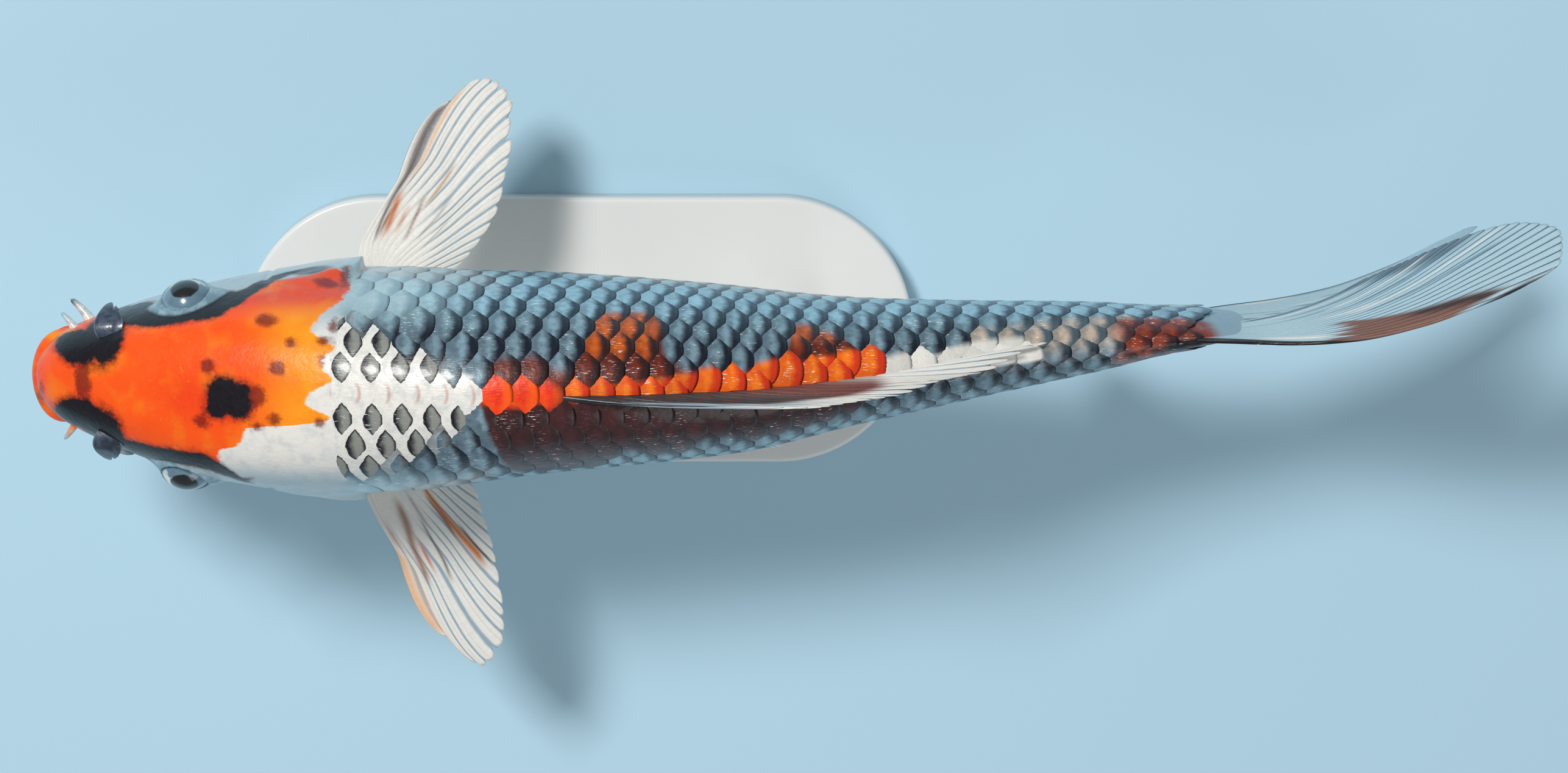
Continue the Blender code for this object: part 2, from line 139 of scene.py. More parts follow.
def profile(station):
    """Half width, back, belly, widest line (metres) and fullness."""
    root = np.sqrt(np.clip(station, 0.0, 1.0))
    half, back, belly, widest, full = (
        smooth_curve(np.sqrt(BODY[:, 0]), BODY[:, i], root) for i in range(1, 6)
    )
    return half * BODY_LENGTH, back * BODY_LENGTH, belly * BODY_LENGTH, widest * BODY_LENGTH, full


def section(station, angle, lift=0.0):
    """Metres across and up from the spine of a point on the flesh, or lift above it."""
    half, back, belly, widest, full = profile(station)
    rise = np.where(np.cos(angle) > 0, back - widest, widest - belly)
    side = (half + lift) * signed_power(np.sin(angle), 2 / full)
    height = widest + (rise + lift) * signed_power(np.cos(angle), 2 / full)
    return side, height


def vector(x, y, z):
    return np.stack(np.broadcast_arrays(x, y, z), -1)


def unit(vectors):
    return vectors / np.linalg.norm(vectors, axis=-1, keepdims=True)


def sway_at(station):
    """SWAY at any station."""
    return smooth_curve(SWAY[:, 0], SWAY[:, 1], station)


def spine_frame(station):
    """The spine's points, and the unit vectors along (tailwards), across (right) and up there."""
    station = np.minimum(np.asarray(station, float), LAST_STATION)
    ahead = sway_at(np.minimum(station + SWAY_STEP, LAST_STATION))
    behind = sway_at(np.maximum(station - SWAY_STEP, 0))
    heading = np.arctan2(ahead - behind, 2 * SWAY_STEP)
    roll = TWIST * smooth_step(station, TWIST_START, TWIST_END)
    point = vector(SNOUT_X + station * BODY_LENGTH, sway_at(station) * BODY_LENGTH, AXIS_HEIGHT)
    along = vector(np.cos(heading), np.sin(heading), 0.0)
    flat = vector(-np.sin(heading), np.cos(heading), 0.0)
    upright = np.array([0.0, 0.0, 1.0])
    across = flat * np.cos(roll)[..., None] + upright * np.sin(roll)[..., None]
    up = -flat * np.sin(roll)[..., None] + upright * np.cos(roll)[..., None]
    return point, along, across, up


def in_frame(station, across_by, up_by):
    """Points given by their station and their metres across and up from the spine."""
    point, _, across, up = spine_frame(station)
    return point + across * np.asarray(across_by)[..., None] + up * np.asarray(up_by)[..., None]


def body_point(station, angle, lift=0.0):
    """Points on the flesh, or lift above it. The angle runs from the back round the right side."""
    station, angle = np.broadcast_arrays(np.asarray(station, float), np.asarray(angle, float))
    side, height = section(station, angle, lift)
    return in_frame(station, side, height)


def ring_tables():
    """For each station's section: the angle at each ring from 0 to 2, and both quarters' arcs."""
    quarter = 360
    roots = np.linspace(0.02, 1, 140)
    angles = np.linspace(0, math.pi, 2 * quarter + 1)
    rings = np.linspace(0, 2, 201)
    side, height = section(roots[:, None] ** 2, angles[None, :])
    steps = np.hypot(np.diff(side, axis=1), np.diff(height, axis=1))
    arcs = np.concatenate([np.zeros((len(roots), 1)), np.cumsum(steps, axis=1)], axis=1)
    upper, whole = arcs[:, quarter], arcs[:, -1]
    table = np.empty((len(roots), len(rings)))
    for i in range(len(roots)):
        goal = np.where(rings < 1, rings * upper[i], upper[i] + (rings - 1) * (whole[i] - upper[i]))
        table[i] = np.interp(goal, arcs[i], angles)
    return roots, table, upper, whole - upper


RING_ROOTS, RING_ANGLES, UPPER_ARC, LOWER_ARC = ring_tables()


def angle_at(station, ring):
    """The section's angle at a ring, so that rings are evenly spaced along the skin."""
    root = np.sqrt(np.clip(station, RING_ROOTS[0] ** 2, 1))
    row = (root - RING_ROOTS[0]) / (RING_ROOTS[-1] - RING_ROOTS[0]) * (len(RING_ROOTS) - 1)
    column = np.clip(np.abs(ring), 0, 2) / 2 * (RING_ANGLES.shape[1] - 1)
    i = np.minimum(row.astype(int), len(RING_ROOTS) - 2)
    j = np.minimum(column.astype(int), RING_ANGLES.shape[1] - 2)
    a, b = row - i, column - j
    angle = (
        RING_ANGLES[i, j] * (1 - a) * (1 - b) + RING_ANGLES[i + 1, j] * a * (1 - b)
        + RING_ANGLES[i, j + 1] * (1 - a) * b + RING_ANGLES[i + 1, j + 1] * a * b
    )
    return angle * np.where(ring < 0, -1, 1)


def girth(station, ring):
    """Distance along the skin from the ridge, as a share of BODY_LENGTH, negative on the left."""
    root = np.sqrt(np.clip(station, 0, 1))
    upper = np.interp(root, RING_ROOTS, UPPER_ARC)
    lower = np.interp(root, RING_ROOTS, LOWER_ARC)
    size = np.minimum(np.abs(ring), 1) * upper + np.maximum(np.abs(ring) - 1, 0) * lower
    return size * np.sign(ring) / BODY_LENGTH


# ---------------------------------------------------------------------------------------------
# Markings, which skin and scales share


def rgb(red, green, blue):
    """A screen colour, 0 to 255, as the linear light that a shader mixes."""
    value = np.array([red, green, blue]) / 255
    return np.where(value <= 0.04045, value / 12.92, ((value + 0.055) / 1.055) ** 2.4)


WHITE = rgb(232, 229, 222)
CREAM = rgb(226, 196, 168)
BELLY = rgb(214, 216, 208)
STEEL = rgb(124, 152, 166)
STEEL_SIDE = rgb(152, 196, 213)
SHOULDER = rgb(190, 212, 216)
NAVY = rgb(12, 20, 38)
NAVY_SIDE = rgb(24, 54, 80)
ORANGE = rgb(255, 88, 10)
YELLOW = rgb(255, 164, 24)
RED = rgb(232, 40, 10)
MAROON = rgb(70, 28, 29)
RUST = rgb(118, 36, 14)
EMBER = rgb(232, 108, 20)
TAIL_RUST = rgb(156, 62, 34)
TAIL_SKIN = rgb(178, 204, 214)
TAIL_WEB = rgb(66, 108, 136)
BLACK = rgb(16, 9, 18)
CHEEK = rgb(160, 184, 194)
LENS_DARK = rgb(22, 24, 32)  # the dark middles of the nape's scales

# Where the orange hood ends: girth, station. Scale-shaped fingers run back from it.
HOOD_EDGE = (
    (-0.120, 0.120), (-0.070, 0.162), (-0.046, 0.166), (-0.040, 0.180), (-0.023, 0.190),
    (-0.018, 0.238), (-0.012, 0.258), (0.000, 0.240), (0.009, 0.243), (0.020, 0.264),
    (0.030, 0.252), (0.040, 0.258), (0.048, 0.264), (0.061, 0.244), (0.086, 0.256),
    (0.105, 0.268), (0.130, 0.274), (0.152, 0.262), (0.180, 0.205), (0.210, 0.120),
)
# How far down each side the hood's colour reaches: station, girth.
HOOD_LOW = {
    "left": (
        (0.00, 0.085), (0.05, 0.095), (0.07, 0.066), (0.125, 0.061), (0.15, 0.062), (0.17, 0.073),
        (0.20, 0.080),
    ),
    "right": (
        (0.00, 0.085), (0.05, 0.095), (0.07, 0.078), (0.104, 0.073), (0.135, 0.079), (0.156, 0.084),
        (0.180, 0.106), (0.200, 0.134), (0.225, 0.142), (0.244, 0.146), (0.256, 0.164), (0.30, 0.166),
    ),
}
# Black marks as ellipses: station, girth, and their half sizes.
BLACK_MARKS = (
    (0.040, 0.036, 0.022, 0.019), (0.062, 0.050, 0.018, 0.030), (0.072, 0.082, 0.012, 0.030),
    (0.042, -0.030, 0.023, 0.019), (0.062, -0.044, 0.019, 0.026), (0.073, -0.070, 0.012, 0.026),
    (0.170, 0.004, 0.0145, 0.0150), (0.180, -0.003, 0.0135, 0.0125), (0.165, -0.007, 0.0105, 0.0095),
    (0.184, 0.007, 0.0090, 0.0080),
    (0.090, 0.094, 0.0130, 0.0170), (0.170, 0.102, 0.0120, 0.0140), (0.092, -0.080, 0.0110, 0.0130),
)
# The bands along the eyes' inner side: station, girth of the middle, half width.
EYE_BANDS = {
    "right": ((0.070, 0.078, 0.016), (0.104, 0.073, 0.014), (0.135, 0.079, 0.012), (0.156, 0.084, 0.013),
              (0.180, 0.106, 0.014), (0.200, 0.138, 0.012), (0.222, 0.162, 0.006)),
    "left": ((0.070, 0.062, 0.016), (0.104, 0.062, 0.013), (0.125, 0.061, 0.011), (0.146, 0.061, 0.011),
             (0.165, 0.071, 0.010), (0.182, 0.090, 0.005)),
}
# Small dark red smudges on the hood, as ellipses: station, girth, and their half sizes.
SMUDGES = (
    (0.046, 0.004, 0.0070, 0.026), (0.192, 0.004, 0.014, 0.011), (0.156, 0.027, 0.006, 0.006),
    (0.215, 0.028, 0.007, 0.006), (0.151, -0.019, 0.007, 0.006), (0.213, -0.015, 0.006, 0.005),
    (0.205, 0.072, 0.009, 0.007),
    (0.254, 0.037, 0.005, 0.004), (0.256, 0.053, 0.006, 0.004), (0.250, -0.016, 0.004, 0.004),
    (0.268, 0.146, 0.004, 0.022), (0.252, 0.130, 0.010, 0.008), (0.006, -0.020, 0.003, 0.012),
    (0.262, 0.070, 0.004, 0.007), (0.228, 0.050, 0.005, 0.004), (0.198, -0.022, 0.005, 0.003),
)
# Single marks, as ellipses too: yellow by the nostrils, the gill cover's dark corner, and the red spot
# ahead of the dorsal fin.
SNOUT_YELLOW = (0.024, 0.050, 0.014, 0.012)
GILL_CORNER = (0.238, 0.160, 0.018, 0.017)
RED_SPOT = (0.412, 0.002, 0.036, 0.013)
# Half the width of the white on the nape: station, girth.
NAPE_EDGE = ((0.24, 0.084), (0.29, 0.076), (0.33, 0.048), (0.37, 0.024), (0.392, 0.004))
# Patches that reach down from the ridge: station, girth of their lower edge.
MAROON_EDGE = (
    (0.385, 0.004), (0.398, 0.055), (0.410, 0.095), (0.465, 0.112), (0.485, 0.088), (0.506, 0.062),
    (0.537, 0.080), (0.578, 0.048), (0.614, 0.056), (0.650, 0.050), (0.690, 0.032), (0.708, 0.000),
)
RUST_EDGE = (
    (0.385, 0.000), (0.395, 0.031), (0.430, 0.031), (0.455, 0.022), (0.470, 0.042), (0.480, 0.074),
    (0.490, 0.086), (0.525, 0.086), (0.533, 0.062), (0.540, 0.032), (0.560, 0.016), (0.620, 0.016),
    (0.640, 0.028), (0.652, 0.058), (0.665, 0.052), (0.686, 0.038), (0.700, 0.022), (0.710, 0.000),
)
# The bright band beside the dorsal fin: station, girth of its outer edge.
BAND_EDGE = (
    (0.452, 0.000), (0.460, 0.012), (0.500, 0.014), (0.540, 0.016), (0.600, 0.019), (0.640, 0.024),
    (0.690, 0.023), (0.718, 0.022), (0.724, 0.000),
)
WHITE_EDGE = ((0.716, 0.000), (0.724, 0.012), (0.760, 0.016), (0.795, 0.019), (0.830, 0.018), (0.850, 0.000))


def lay(colour, over, share):
    """The colour over laid on colour by a share from 0 to 1."""
    return colour + (over - colour) * np.asarray(share)[..., None]


def lay_pair(pair, share, first, second):
    """One colour laid on each of two: a scale's light and dark part, or a fin's rays and web."""
    return lay(pair[0], first, share), lay(pair[1], second, share)


def ellipse(station, around, mark):
    """How far inside an ellipse a point is, as a share of BODY_LENGTH."""
    middle_station, middle_girth, long, tall = mark
    size = np.hypot((station - middle_station) / long, (around - middle_girth) / tall)
    return (1 - size) * min(long, tall)


def hood_depth(station, around):
    """How far inside the orange hood a point is."""
    behind = from_table(HOOD_EDGE, around) - station
    left = from_table(HOOD_LOW["left"], station) + around
    right = from_table(HOOD_LOW["right"], station) - around
    return np.minimum(np.minimum(behind, left), right)


def black_depth(station, around):
    """How far inside the head's black marks a point is."""
    found = np.max([ellipse(station, around, mark) for mark in BLACK_MARKS], axis=0)
    for name, side in SIDES.items():
        stations, girths, halves = np.array(EYE_BANDS[name]).T
        within = np.clip(station, stations[0], stations[-1])
        middle = smooth_curve(stations, girths, within)
        half = smooth_curve(stations, halves, within)
        ends = np.minimum(station - stations[0], stations[-1] - station) + 0.004
        found = np.maximum(found, np.minimum(half - np.abs(side * around - middle), ends))
    return found


def smudge_depth(station, around):
    """How far inside the hood's smudges a point is."""
    return np.max([ellipse(station, around, mark) for mark in SMUDGES], axis=0)


def nape_depth(station, around, beyond=0.0):
    """How far inside the nape's white a point is, or the white widened by beyond."""
    return from_table(NAPE_EDGE, station) + beyond - np.abs(around + 0.002)


def ground_colour(station, ring):
    """Light and dark colour of the plain steel-grey body, paler down the sides."""
    down = np.abs(ring)
    light = lay(STEEL, STEEL_SIDE, smooth_step(down, 0.30, 0.62))
    dark = lay(NAVY, NAVY_SIDE, smooth_step(down, 0.36, 0.72))
    shoulder = smooth_step(station, 0.40, 0.29) * smooth_step(down, 0.34, 0.56)
    light = lay(light, SHOULDER, 0.9 * shoulder)
    dark = lay(dark, lay(STEEL_SIDE, SHOULDER, 0.4), 0.8 * shoulder)
    light = lay(light, BELLY, smooth_step(down, 1.05, 1.55))
    dark = lay(dark, BELLY * 0.82, smooth_step(down, 1.10, 1.60))
    return light, dark


def body_markings(station, ring):
    """Light and dark colour behind the head, and how far a scale is white with a dark middle."""
    around = girth(station, ring)

    def patch(table, side, beyond, soft=0.004):
        """Share of a patch that reaches down one side, from a little beyond the ridge."""
        inside = from_table(table, station) - np.abs(around)
        within = (station > table[0][0]) & (station < table[-1][0]) & (side * around > -beyond)
        return smooth_step(inside, -soft, soft) * within

    nape = smooth_step(nape_depth(station, around), -0.006, 0.006) * (station < NAPE_EDGE[-1][0])
    cream = smooth_step(0.016 - np.abs(around - 0.018), -0.006, 0.006)
    cream = cream * (station > 0.79) * (station < 0.935)
    maroon = patch(MAROON_EDGE, -1, 0.003)
    rust = patch(RUST_EDGE, 1, 0.002)
    glow = np.maximum(
        rust * smooth_step(around, 0.026, 0.048) * smooth_step(np.abs(station - 0.497), 0.042, 0.024),
        rust * smooth_step(around, 0.030, 0.044) * smooth_step(np.abs(station - 0.66), 0.03, 0.01),
    )
    spot = smooth_step(ellipse(station, around, RED_SPOT), -0.002, 0.002)
    band = patch(BAND_EDGE, 1, 0.001, soft=0.002)
    white = patch(WHITE_EDGE, 1, 0.003, soft=0.002)
    root = smooth_step(station + 0.25 * np.abs(around - 0.004), 0.905, 0.925)
    root = root * smooth_step(np.abs(around), 0.034, 0.026)
    stripe = smooth_step(station, 0.945, 0.955) * smooth_step(np.abs(around + 0.006), 0.010, 0.005)
    fin_root = smooth_step(station + 0.2 * np.abs(around), 0.988, 1.004) * (1 - stripe)

    light, dark = ground_colour(station, ring)
    pair = lay(light, CREAM, 0.75 * cream), lay(dark, STEEL * 0.7, 0.5 * cream)
    pair = lay_pair(pair, maroon, MAROON, MAROON * 0.5)
    light, dark = lay_pair(pair, rust, RUST, MAROON * 0.45)
    pair = lay(light, EMBER, 0.85 * glow), dark
    pair = lay_pair(pair, spot, RED, ORANGE)
    pair = lay_pair(pair, band, rgb(255, 128, 18), rgb(216, 52, 8))
    pair = lay_pair(pair, white, WHITE, WHITE * 0.93)
    pair = lay_pair(pair, root, TAIL_RUST, MAROON)
    pair = lay_pair(pair, stripe, BLACK, BLACK)
    light, dark = lay_pair(pair, fin_root, TAIL_SKIN, TAIL_WEB)
    return light, dark, nape


def hood_colour(station, around):
    """Orange on the head, redder on the snout and yellower towards its hind edge."""
    chin = smooth_step(ellipse(station, around, SNOUT_YELLOW), -0.004, 0.004)
    crown = smooth_step(np.hypot((station - 0.15) / 0.05, around / 0.03), 1.2, 0.2)
    hind = smooth_step(station + 0.25 * np.abs(around - 0.02), 0.185, 0.252)
    colour = lay(ORANGE, RED, 0.30 * smooth_step(station, 0.014, 0.002))
    colour = lay(colour, YELLOW, 0.7 * chin)
    colour = lay(colour, RED, 0.45 * crown)
    colour = lay(colour, YELLOW, 0.9 * hind)
    colour = lay(colour, RED, 0.75 * smooth_step(around, 0.070, 0.105) * smooth_step(station, 0.14, 0.19))
    return lay(colour, RED, 0.5 * smooth_step(around, 0.070, 0.115))


def cheek_colour(station, ring):
    """White of the head where the hood doesn't reach, greyer above the gill covers."""
    around = girth(station, ring)
    shade = smooth_step(np.abs(around), 0.050, 0.085) * smooth_step(np.abs(around), 0.240, 0.150)
    lip = smooth_step(station, 0.050, 0.020) * smooth_step(np.abs(ring), 1.45, 1.15)
    corner = smooth_step(ellipse(station, around, GILL_CORNER), -0.004, 0.006)
    colour = lay(WHITE, CHEEK, 0.75 * shade)
    colour = lay(colour, rgb(240, 120, 60), lip)
    return lay(colour, rgb(44, 44, 54), 0.9 * corner)


# ---------------------------------------------------------------------------------------------
# Materials


class Paint:
    """A Principled material whose nodes are added by short calls."""

    def __init__(self, name, **settings):
        self.material = bpy.data.materials.new(name)
        self.material.use_nodes = True
        self.tree = self.material.node_tree
        self.surface = self.tree.nodes["Principled BSDF"]
        for key, value in settings.items():
            self.plug(self.surface.inputs[key.replace("_", " ")], value)

    def plug(self, socket, value):
        if isinstance(value, bpy.types.NodeSocket):
            self.tree.links.new(value, socket)
        elif hasattr(value, "__len__") and len(value) == 3 and socket.type == "RGBA":
            socket.default_value = (*value, 1)
        else:
            socket.default_value = value

    def add(self, kind, *inputs, **settings):
        """A node of a kind, with its inputs in order and its settings by name."""
        node = self.tree.nodes.new("ShaderNode" + kind)
        for key, value in settings.items():
            setattr(node, key, value)
        for socket, value in zip(node.inputs, inputs):
            if value is not None:
                self.plug(socket, value)
        return node

    def attribute(self, name, output="Fac"):
        return self.add("Attribute", attribute_name=name).outputs[output]

    def maths(self, operation, *inputs):
        return self.add("Math", *inputs, operation=operation).outputs[0]

    def times(self, first, second):
        return self.maths("MULTIPLY", first, second)

    def plus(self, base, share, value):
        """base with a share of value added."""
        return self.maths("MULTIPLY_ADD", value, share, base)

    def larger(self, first, second):
        return self.maths("MAXIMUM", first, second)

    def parts(self, vector):
        return self.add("SeparateXYZ", vector).outputs

    def step(self, value, low, high):
        """0 below low, 1 above high; low may be the larger."""
        return self.add("MapRange", value, low, high, 0.0, 1.0, interpolation_type="SMOOTHSTEP").outputs[0]

    def stretched(self, vector, *stretch):
        return self.add("VectorMath", vector, stretch, operation="MULTIPLY").outputs[0]

    def place(self, *stretch):
        """The object's own coordinates in metres, each axis stretched."""
        return self.stretched(self.add("TexCoord").outputs["Object"], *(stretch or (1, 1, 1)))

    def noise(self, scale, detail=2.0, vector=None):
        node = self.add("TexNoise", vector or self.place())
        node.inputs["Scale"].default_value = scale
        node.inputs["Detail"].default_value = detail
        return node.outputs["Fac"]

    def wobble(self, scale, detail):
        """Noise about zero."""
        return self.maths("SUBTRACT", self.noise(scale, detail), 0.5)

    def mix(self, share, first, second, blend="MIX"):
        node = self.tree.nodes.new("ShaderNodeMix")
        node.data_type = "RGBA"
        node.blend_type = blend
        self.plug(node.inputs[0], share)
        self.plug(node.inputs[6], first)
        self.plug(node.inputs[7], second)
        return node.outputs[2]

    def blotch(self, colour, over, strength, scale, low, high, detail=4.0):
        """Soft blotches of another colour, from where the noise passes low to where it passes high."""
        share = self.step(self.noise(scale, detail), low, high)
        return self.mix(self.times(share, strength), colour, over)

    def dim(self, colour, share):
        """The colour times a grey."""
        grey = self.add("CombineColor", share, share, share).outputs[0]
        return self.mix(1.0, colour, grey, "MULTIPLY")

    def bump(self, height, distance):
        """Relief of the given depth in metres."""
        node = self.add("Bump")
        node.inputs["Strength"].default_value = 1.0
        node.inputs["Distance"].default_value = distance
        self.plug(node.inputs["Height"], height)
        self.plug(self.surface.inputs["Normal"], node.outputs[0])

    def show(self, colour=None, roughness=None):
        if colour is not None:
            self.plug(self.surface.inputs["Base Color"], colour)
        if roughness is not None:
            self.plug(self.surface.inputs["Roughness"], roughness)
        return self.material


def skin_material():
    """Slime-wet skin. The hood's and black marks' edges come from depths kept on the mesh."""
    paint = Paint(
        "koi_skin", Coat_Weight=0.25, Coat_Roughness=0.08, Specular_IOR_Level=0.30,
        Subsurface_Weight=0.06, Subsurface_Radius=(0.003, 0.0015, 0.001),
    )
    ragged = paint.wobble(420, 4.0)
    fine = paint.wobble(1500, 3.0)

    def edge(name, rough, soft, level=0.0):
        """1 where the mark's depth, made ragged, is over level, and 0 where it's under."""
        depth = paint.plus(paint.attribute(name), rough, ragged)
        depth = paint.plus(depth, rough * 0.6, fine)
        return paint.step(depth, level - soft, level + soft)

    orange = paint.blotch(paint.attribute("hood_colour", "Color"), RED, 0.25, 260, 0.35, 0.75)
    orange = paint.blotch(orange, YELLOW, 0.32, 130, 0.48, 0.70)
    # Fine yellow speckles: painted glints on the wet orange skin.
    orange = paint.blotch(orange, YELLOW, 0.35, 1100, 0.66, 0.80, detail=2.0)
    pale = paint.blotch(paint.attribute("ground", "Color"), rgb(150, 172, 182), 0.35, 330, 0.45, 0.75)
    colour = paint.mix(edge("hood", 0.010, 0.0022), pale, orange)
    colour = paint.mix(paint.times(edge("smudge", 0.008, 0.003), 0.82), colour, rgb(112, 10, 12))
    colour = paint.mix(paint.times(edge("black", 0.010, 0.004, -0.003), 0.65), colour, rgb(110, 16, 12))
    colour = paint.mix(edge("black", 0.008, 0.0020), colour, BLACK)
    colour = paint.mix(paint.attribute("shade"), colour, rgb(26, 24, 30))
    haze = paint.mix(paint.step(paint.noise(500, 3.0), 0.35, 0.70), rgb(116, 148, 164), rgb(158, 186, 198))
    colour = paint.mix(paint.attribute("orbit"), colour, haze)
    paint.bump(paint.noise(900, 4.0), 0.00012)
    return paint.show(colour, paint.plus(0.22, 0.25, paint.noise(600, 3.0)))


def scale_material():
    """Each scale from its light and dark colour, with a dark net edge, or a dark middle on white."""
    paint = Paint("koi_scales", Coat_Weight=0.26, Coat_Roughness=0.12, Specular_IOR_Level=0.35)
    rim, ahead, beside = paint.parts(paint.attribute("cell", "Vector"))
    light, dark = (paint.attribute(name, "Color") for name in ("light", "dark"))
    nape, shine = (paint.attribute(name) for name in ("nape", "shine"))
    cloud = paint.wobble(520, 4.0)
    aside = paint.maths("ABSOLUTE", beside)
    # Dark towards the hind edge, widest in the middle of it, with a thin dark rim.
    reach = paint.plus(paint.plus(rim, 0.22, cloud), -0.30, paint.maths("POWER", aside, 2.0))
    reach = paint.plus(reach, 0.02, shine)
    crescent = paint.times(paint.step(reach, 0.42, 0.76), paint.step(ahead, 0.95, 0.55))
    outline = paint.times(paint.step(rim, 0.88, 0.97), paint.step(aside, 1.15, 0.55))
    net = paint.larger(crescent, paint.times(outline, 0.9))
    wide = paint.maths("POWER", paint.maths("DIVIDE", aside, 0.62), 2.0)

    def off_lens(middle, half, rough):
        """1 on the edge of a lens of two arcs that meet in points, and less inside it."""
        long = paint.maths("ABSOLUTE", paint.maths("SUBTRACT", ahead, middle))
        return paint.plus(paint.maths("ADD", wide, paint.maths("DIVIDE", long, half)), rough, cloud)

    # Beside the nape the scales are sunk, and dark all round a pale lens.
    sunk = paint.times(paint.step(off_lens(0.58, 0.50, 0.3), 0.62, 1.00), paint.attribute("sunk"))
    net = paint.larger(net, sunk)
    # On the back the front of what shows of a scale is dark too, round a pale middle: painted shade under
    # the tip of the scale ahead, laid into the dark net.
    front = paint.step(paint.plus(paint.plus(ahead, 0.25, aside), 0.5, cloud), 0.66, 0.94)
    net = paint.larger(net, paint.times(front, paint.times(shine, 0.42)))
    plain = paint.mix(paint.times(paint.step(cloud, -0.12, 0.20), 0.28), light, dark)
    plain = paint.mix(net, plain, dark)
    # On the nape a dark lens sits in a white shell, but for the row along the ridge, which is clean.
    inside = off_lens(0.46, 0.32, 0.65)
    # The lens darkens towards its front: partly its own dark middle, partly painted shade of the pocket's
    # front edge under the scale ahead.
    hind = paint.step(paint.plus(ahead, 0.3, cloud), 0.42, 0.70)
    lens = paint.mix(hind, rgb(140, 142, 136), LENS_DARK)
    lens = paint.mix(paint.step(inside, 0.62, 0.98), lens, LENS_DARK)
    shell = paint.mix(paint.times(paint.step(cloud, -0.10, 0.22), 0.40), WHITE, rgb(176, 186, 190))
    colour = paint.mix(nape, plain, paint.mix(paint.step(inside, 1.10, 0.96), shell, lens))
    arc = paint.times(paint.step(rim, 0.40, 0.50), paint.step(rim, 0.62, 0.52))
    arc = paint.times(paint.times(arc, paint.step(ahead, 0.75, 0.45)), paint.step(aside, 0.5, 0.3))
    bare = paint.mix(paint.times(arc, 0.6), shell, rgb(190, 128, 116))
    colour = paint.mix(paint.times(paint.attribute("clean"), nape), colour, bare)
    # Streaky glints in the middle of the scales on the back.
    streak = paint.noise(1.0, 3.0, paint.place(700, 4200, 1500))
    middle = paint.times(paint.step(rim, 0.78, 0.40), shine)
    glint = paint.times(paint.step(streak, 0.60, 0.72), middle)
    glint = paint.times(glint, paint.step(paint.attribute("chance"), 0.25, 0.9))
    colour = paint.mix(glint, colour, rgb(250, 248, 240))
    colour = paint.dim(colour, paint.plus(0.85, 0.30, paint.noise(2600, 2.0)))
    scratches = paint.noise(1.0, 2.0, paint.place(500, 3000, 1800))
    paint.bump(paint.plus(paint.noise(900, 3.0), 0.6, scratches), 0.00010)
    return paint.show(colour, paint.plus(0.18, 0.30, streak))


def fin_material():
    """Fin skin between bony rays, with the tint painted on the mesh and fine lines along the rays."""
    paint = Paint(
        "koi_fin", Coat_Weight=0.30, Coat_Roughness=0.15, Specular_IOR_Level=0.4,
        Subsurface_Weight=0.10, Subsurface_Radius=(0.002, 0.002, 0.002),
    )
    spread = paint.attribute("spread", "Vector")
    lines = paint.noise(1.0, 3.0, paint.stretched(spread, 7.0, 0.22, 1.0))
    joints = paint.noise(1.0, 1.0, paint.stretched(spread, 1.5, 2.2, 1.0))
    grain = paint.noise(1200, 3.0)
    groove = paint.plus(paint.attribute("groove"), 0.7, paint.maths("SUBTRACT", lines, 0.5))
    tint, web = (paint.attribute(name, "Color") for name in ("tint", "web"))
    colour = paint.mix(paint.step(groove, 0.25, 0.95), tint, web)
    colour = paint.dim(colour, paint.plus(0.84, 0.16, paint.maths("ADD", lines, joints)))
    paint.bump(paint.plus(paint.times(grain, 0.4), 0.8, lines), 0.00012)
    return paint.show(colour, paint.plus(0.30, 0.2, grain))


def eye_material():
    """Pupil, silver iris and pale rim, by the angle off the eye's axis, under a wet clear coat."""
    paint = Paint("koi_eye", Coat_Weight=1.0, Coat_Roughness=0.02, Roughness=0.25)
    streak = paint.wobble(900, 4.0)
    off_axis = paint.plus(paint.attribute("off_axis"), 0.12, streak)
    bright = paint.step(paint.plus(paint.attribute("bright"), 0.5, streak), 0.62, 0.82)
    iris = paint.mix(bright, rgb(98, 128, 146), rgb(240, 240, 230))
    iris = paint.mix(paint.times(paint.step(streak, 0.0, 0.2), 0.35), iris, rgb(84, 96, 104))
    colour = paint.mix(paint.step(off_axis, 0.48, 0.56), rgb(5, 6, 12), iris)
    return paint.show(paint.mix(paint.step(off_axis, 0.86, 1.02), colour, rgb(132, 162, 178)))


def flap_material():
    """Slate-coloured leaf of skin, paler along its edge."""
    paint = Paint("koi_flap", Coat_Weight=0.45, Coat_Roughness=0.18)
    colour = paint.mix(paint.step(paint.noise(480, 3.0), 0.35, 0.70), rgb(30, 38, 54), rgb(66, 82, 102))
    colour = paint.mix(paint.times(paint.attribute("edge"), 0.7), colour, rgb(112, 124, 140))
    paint.bump(paint.noise(1400, 3.0), 0.00008)
    return paint.show(colour, 0.38)


def barbel_material():
    """Soft skin with the tint painted on the mesh, greyer in places."""
    paint = Paint(
        "koi_barbel", Coat_Weight=0.5, Coat_Roughness=0.15,
        Subsurface_Weight=0.15, Subsurface_Radius=(0.002, 0.001, 0.001),
    )
    grey = paint.step(paint.noise(700, 3.0), 0.4, 0.7)
    paint.bump(paint.noise(1800, 3.0), 0.00006)
    return paint.show(paint.mix(grey, paint.attribute("tint", "Color"), rgb(180, 196, 204)), 0.35)


def base_material():
    """Satin lacquer with the faint orange-peel of a sprayed finish."""
    paint = Paint("stand_lacquer", Coat_Weight=0.3, Coat_Roughness=0.2)
    peel = paint.noise(900, 2.0)
    colour = paint.mix(paint.times(paint.noise(40, 3.0), 0.35), rgb(232, 232, 229), rgb(214, 216, 216))
    paint.bump(peel, 0.00002)
    return paint.show(colour, paint.plus(0.40, 0.12, peel))


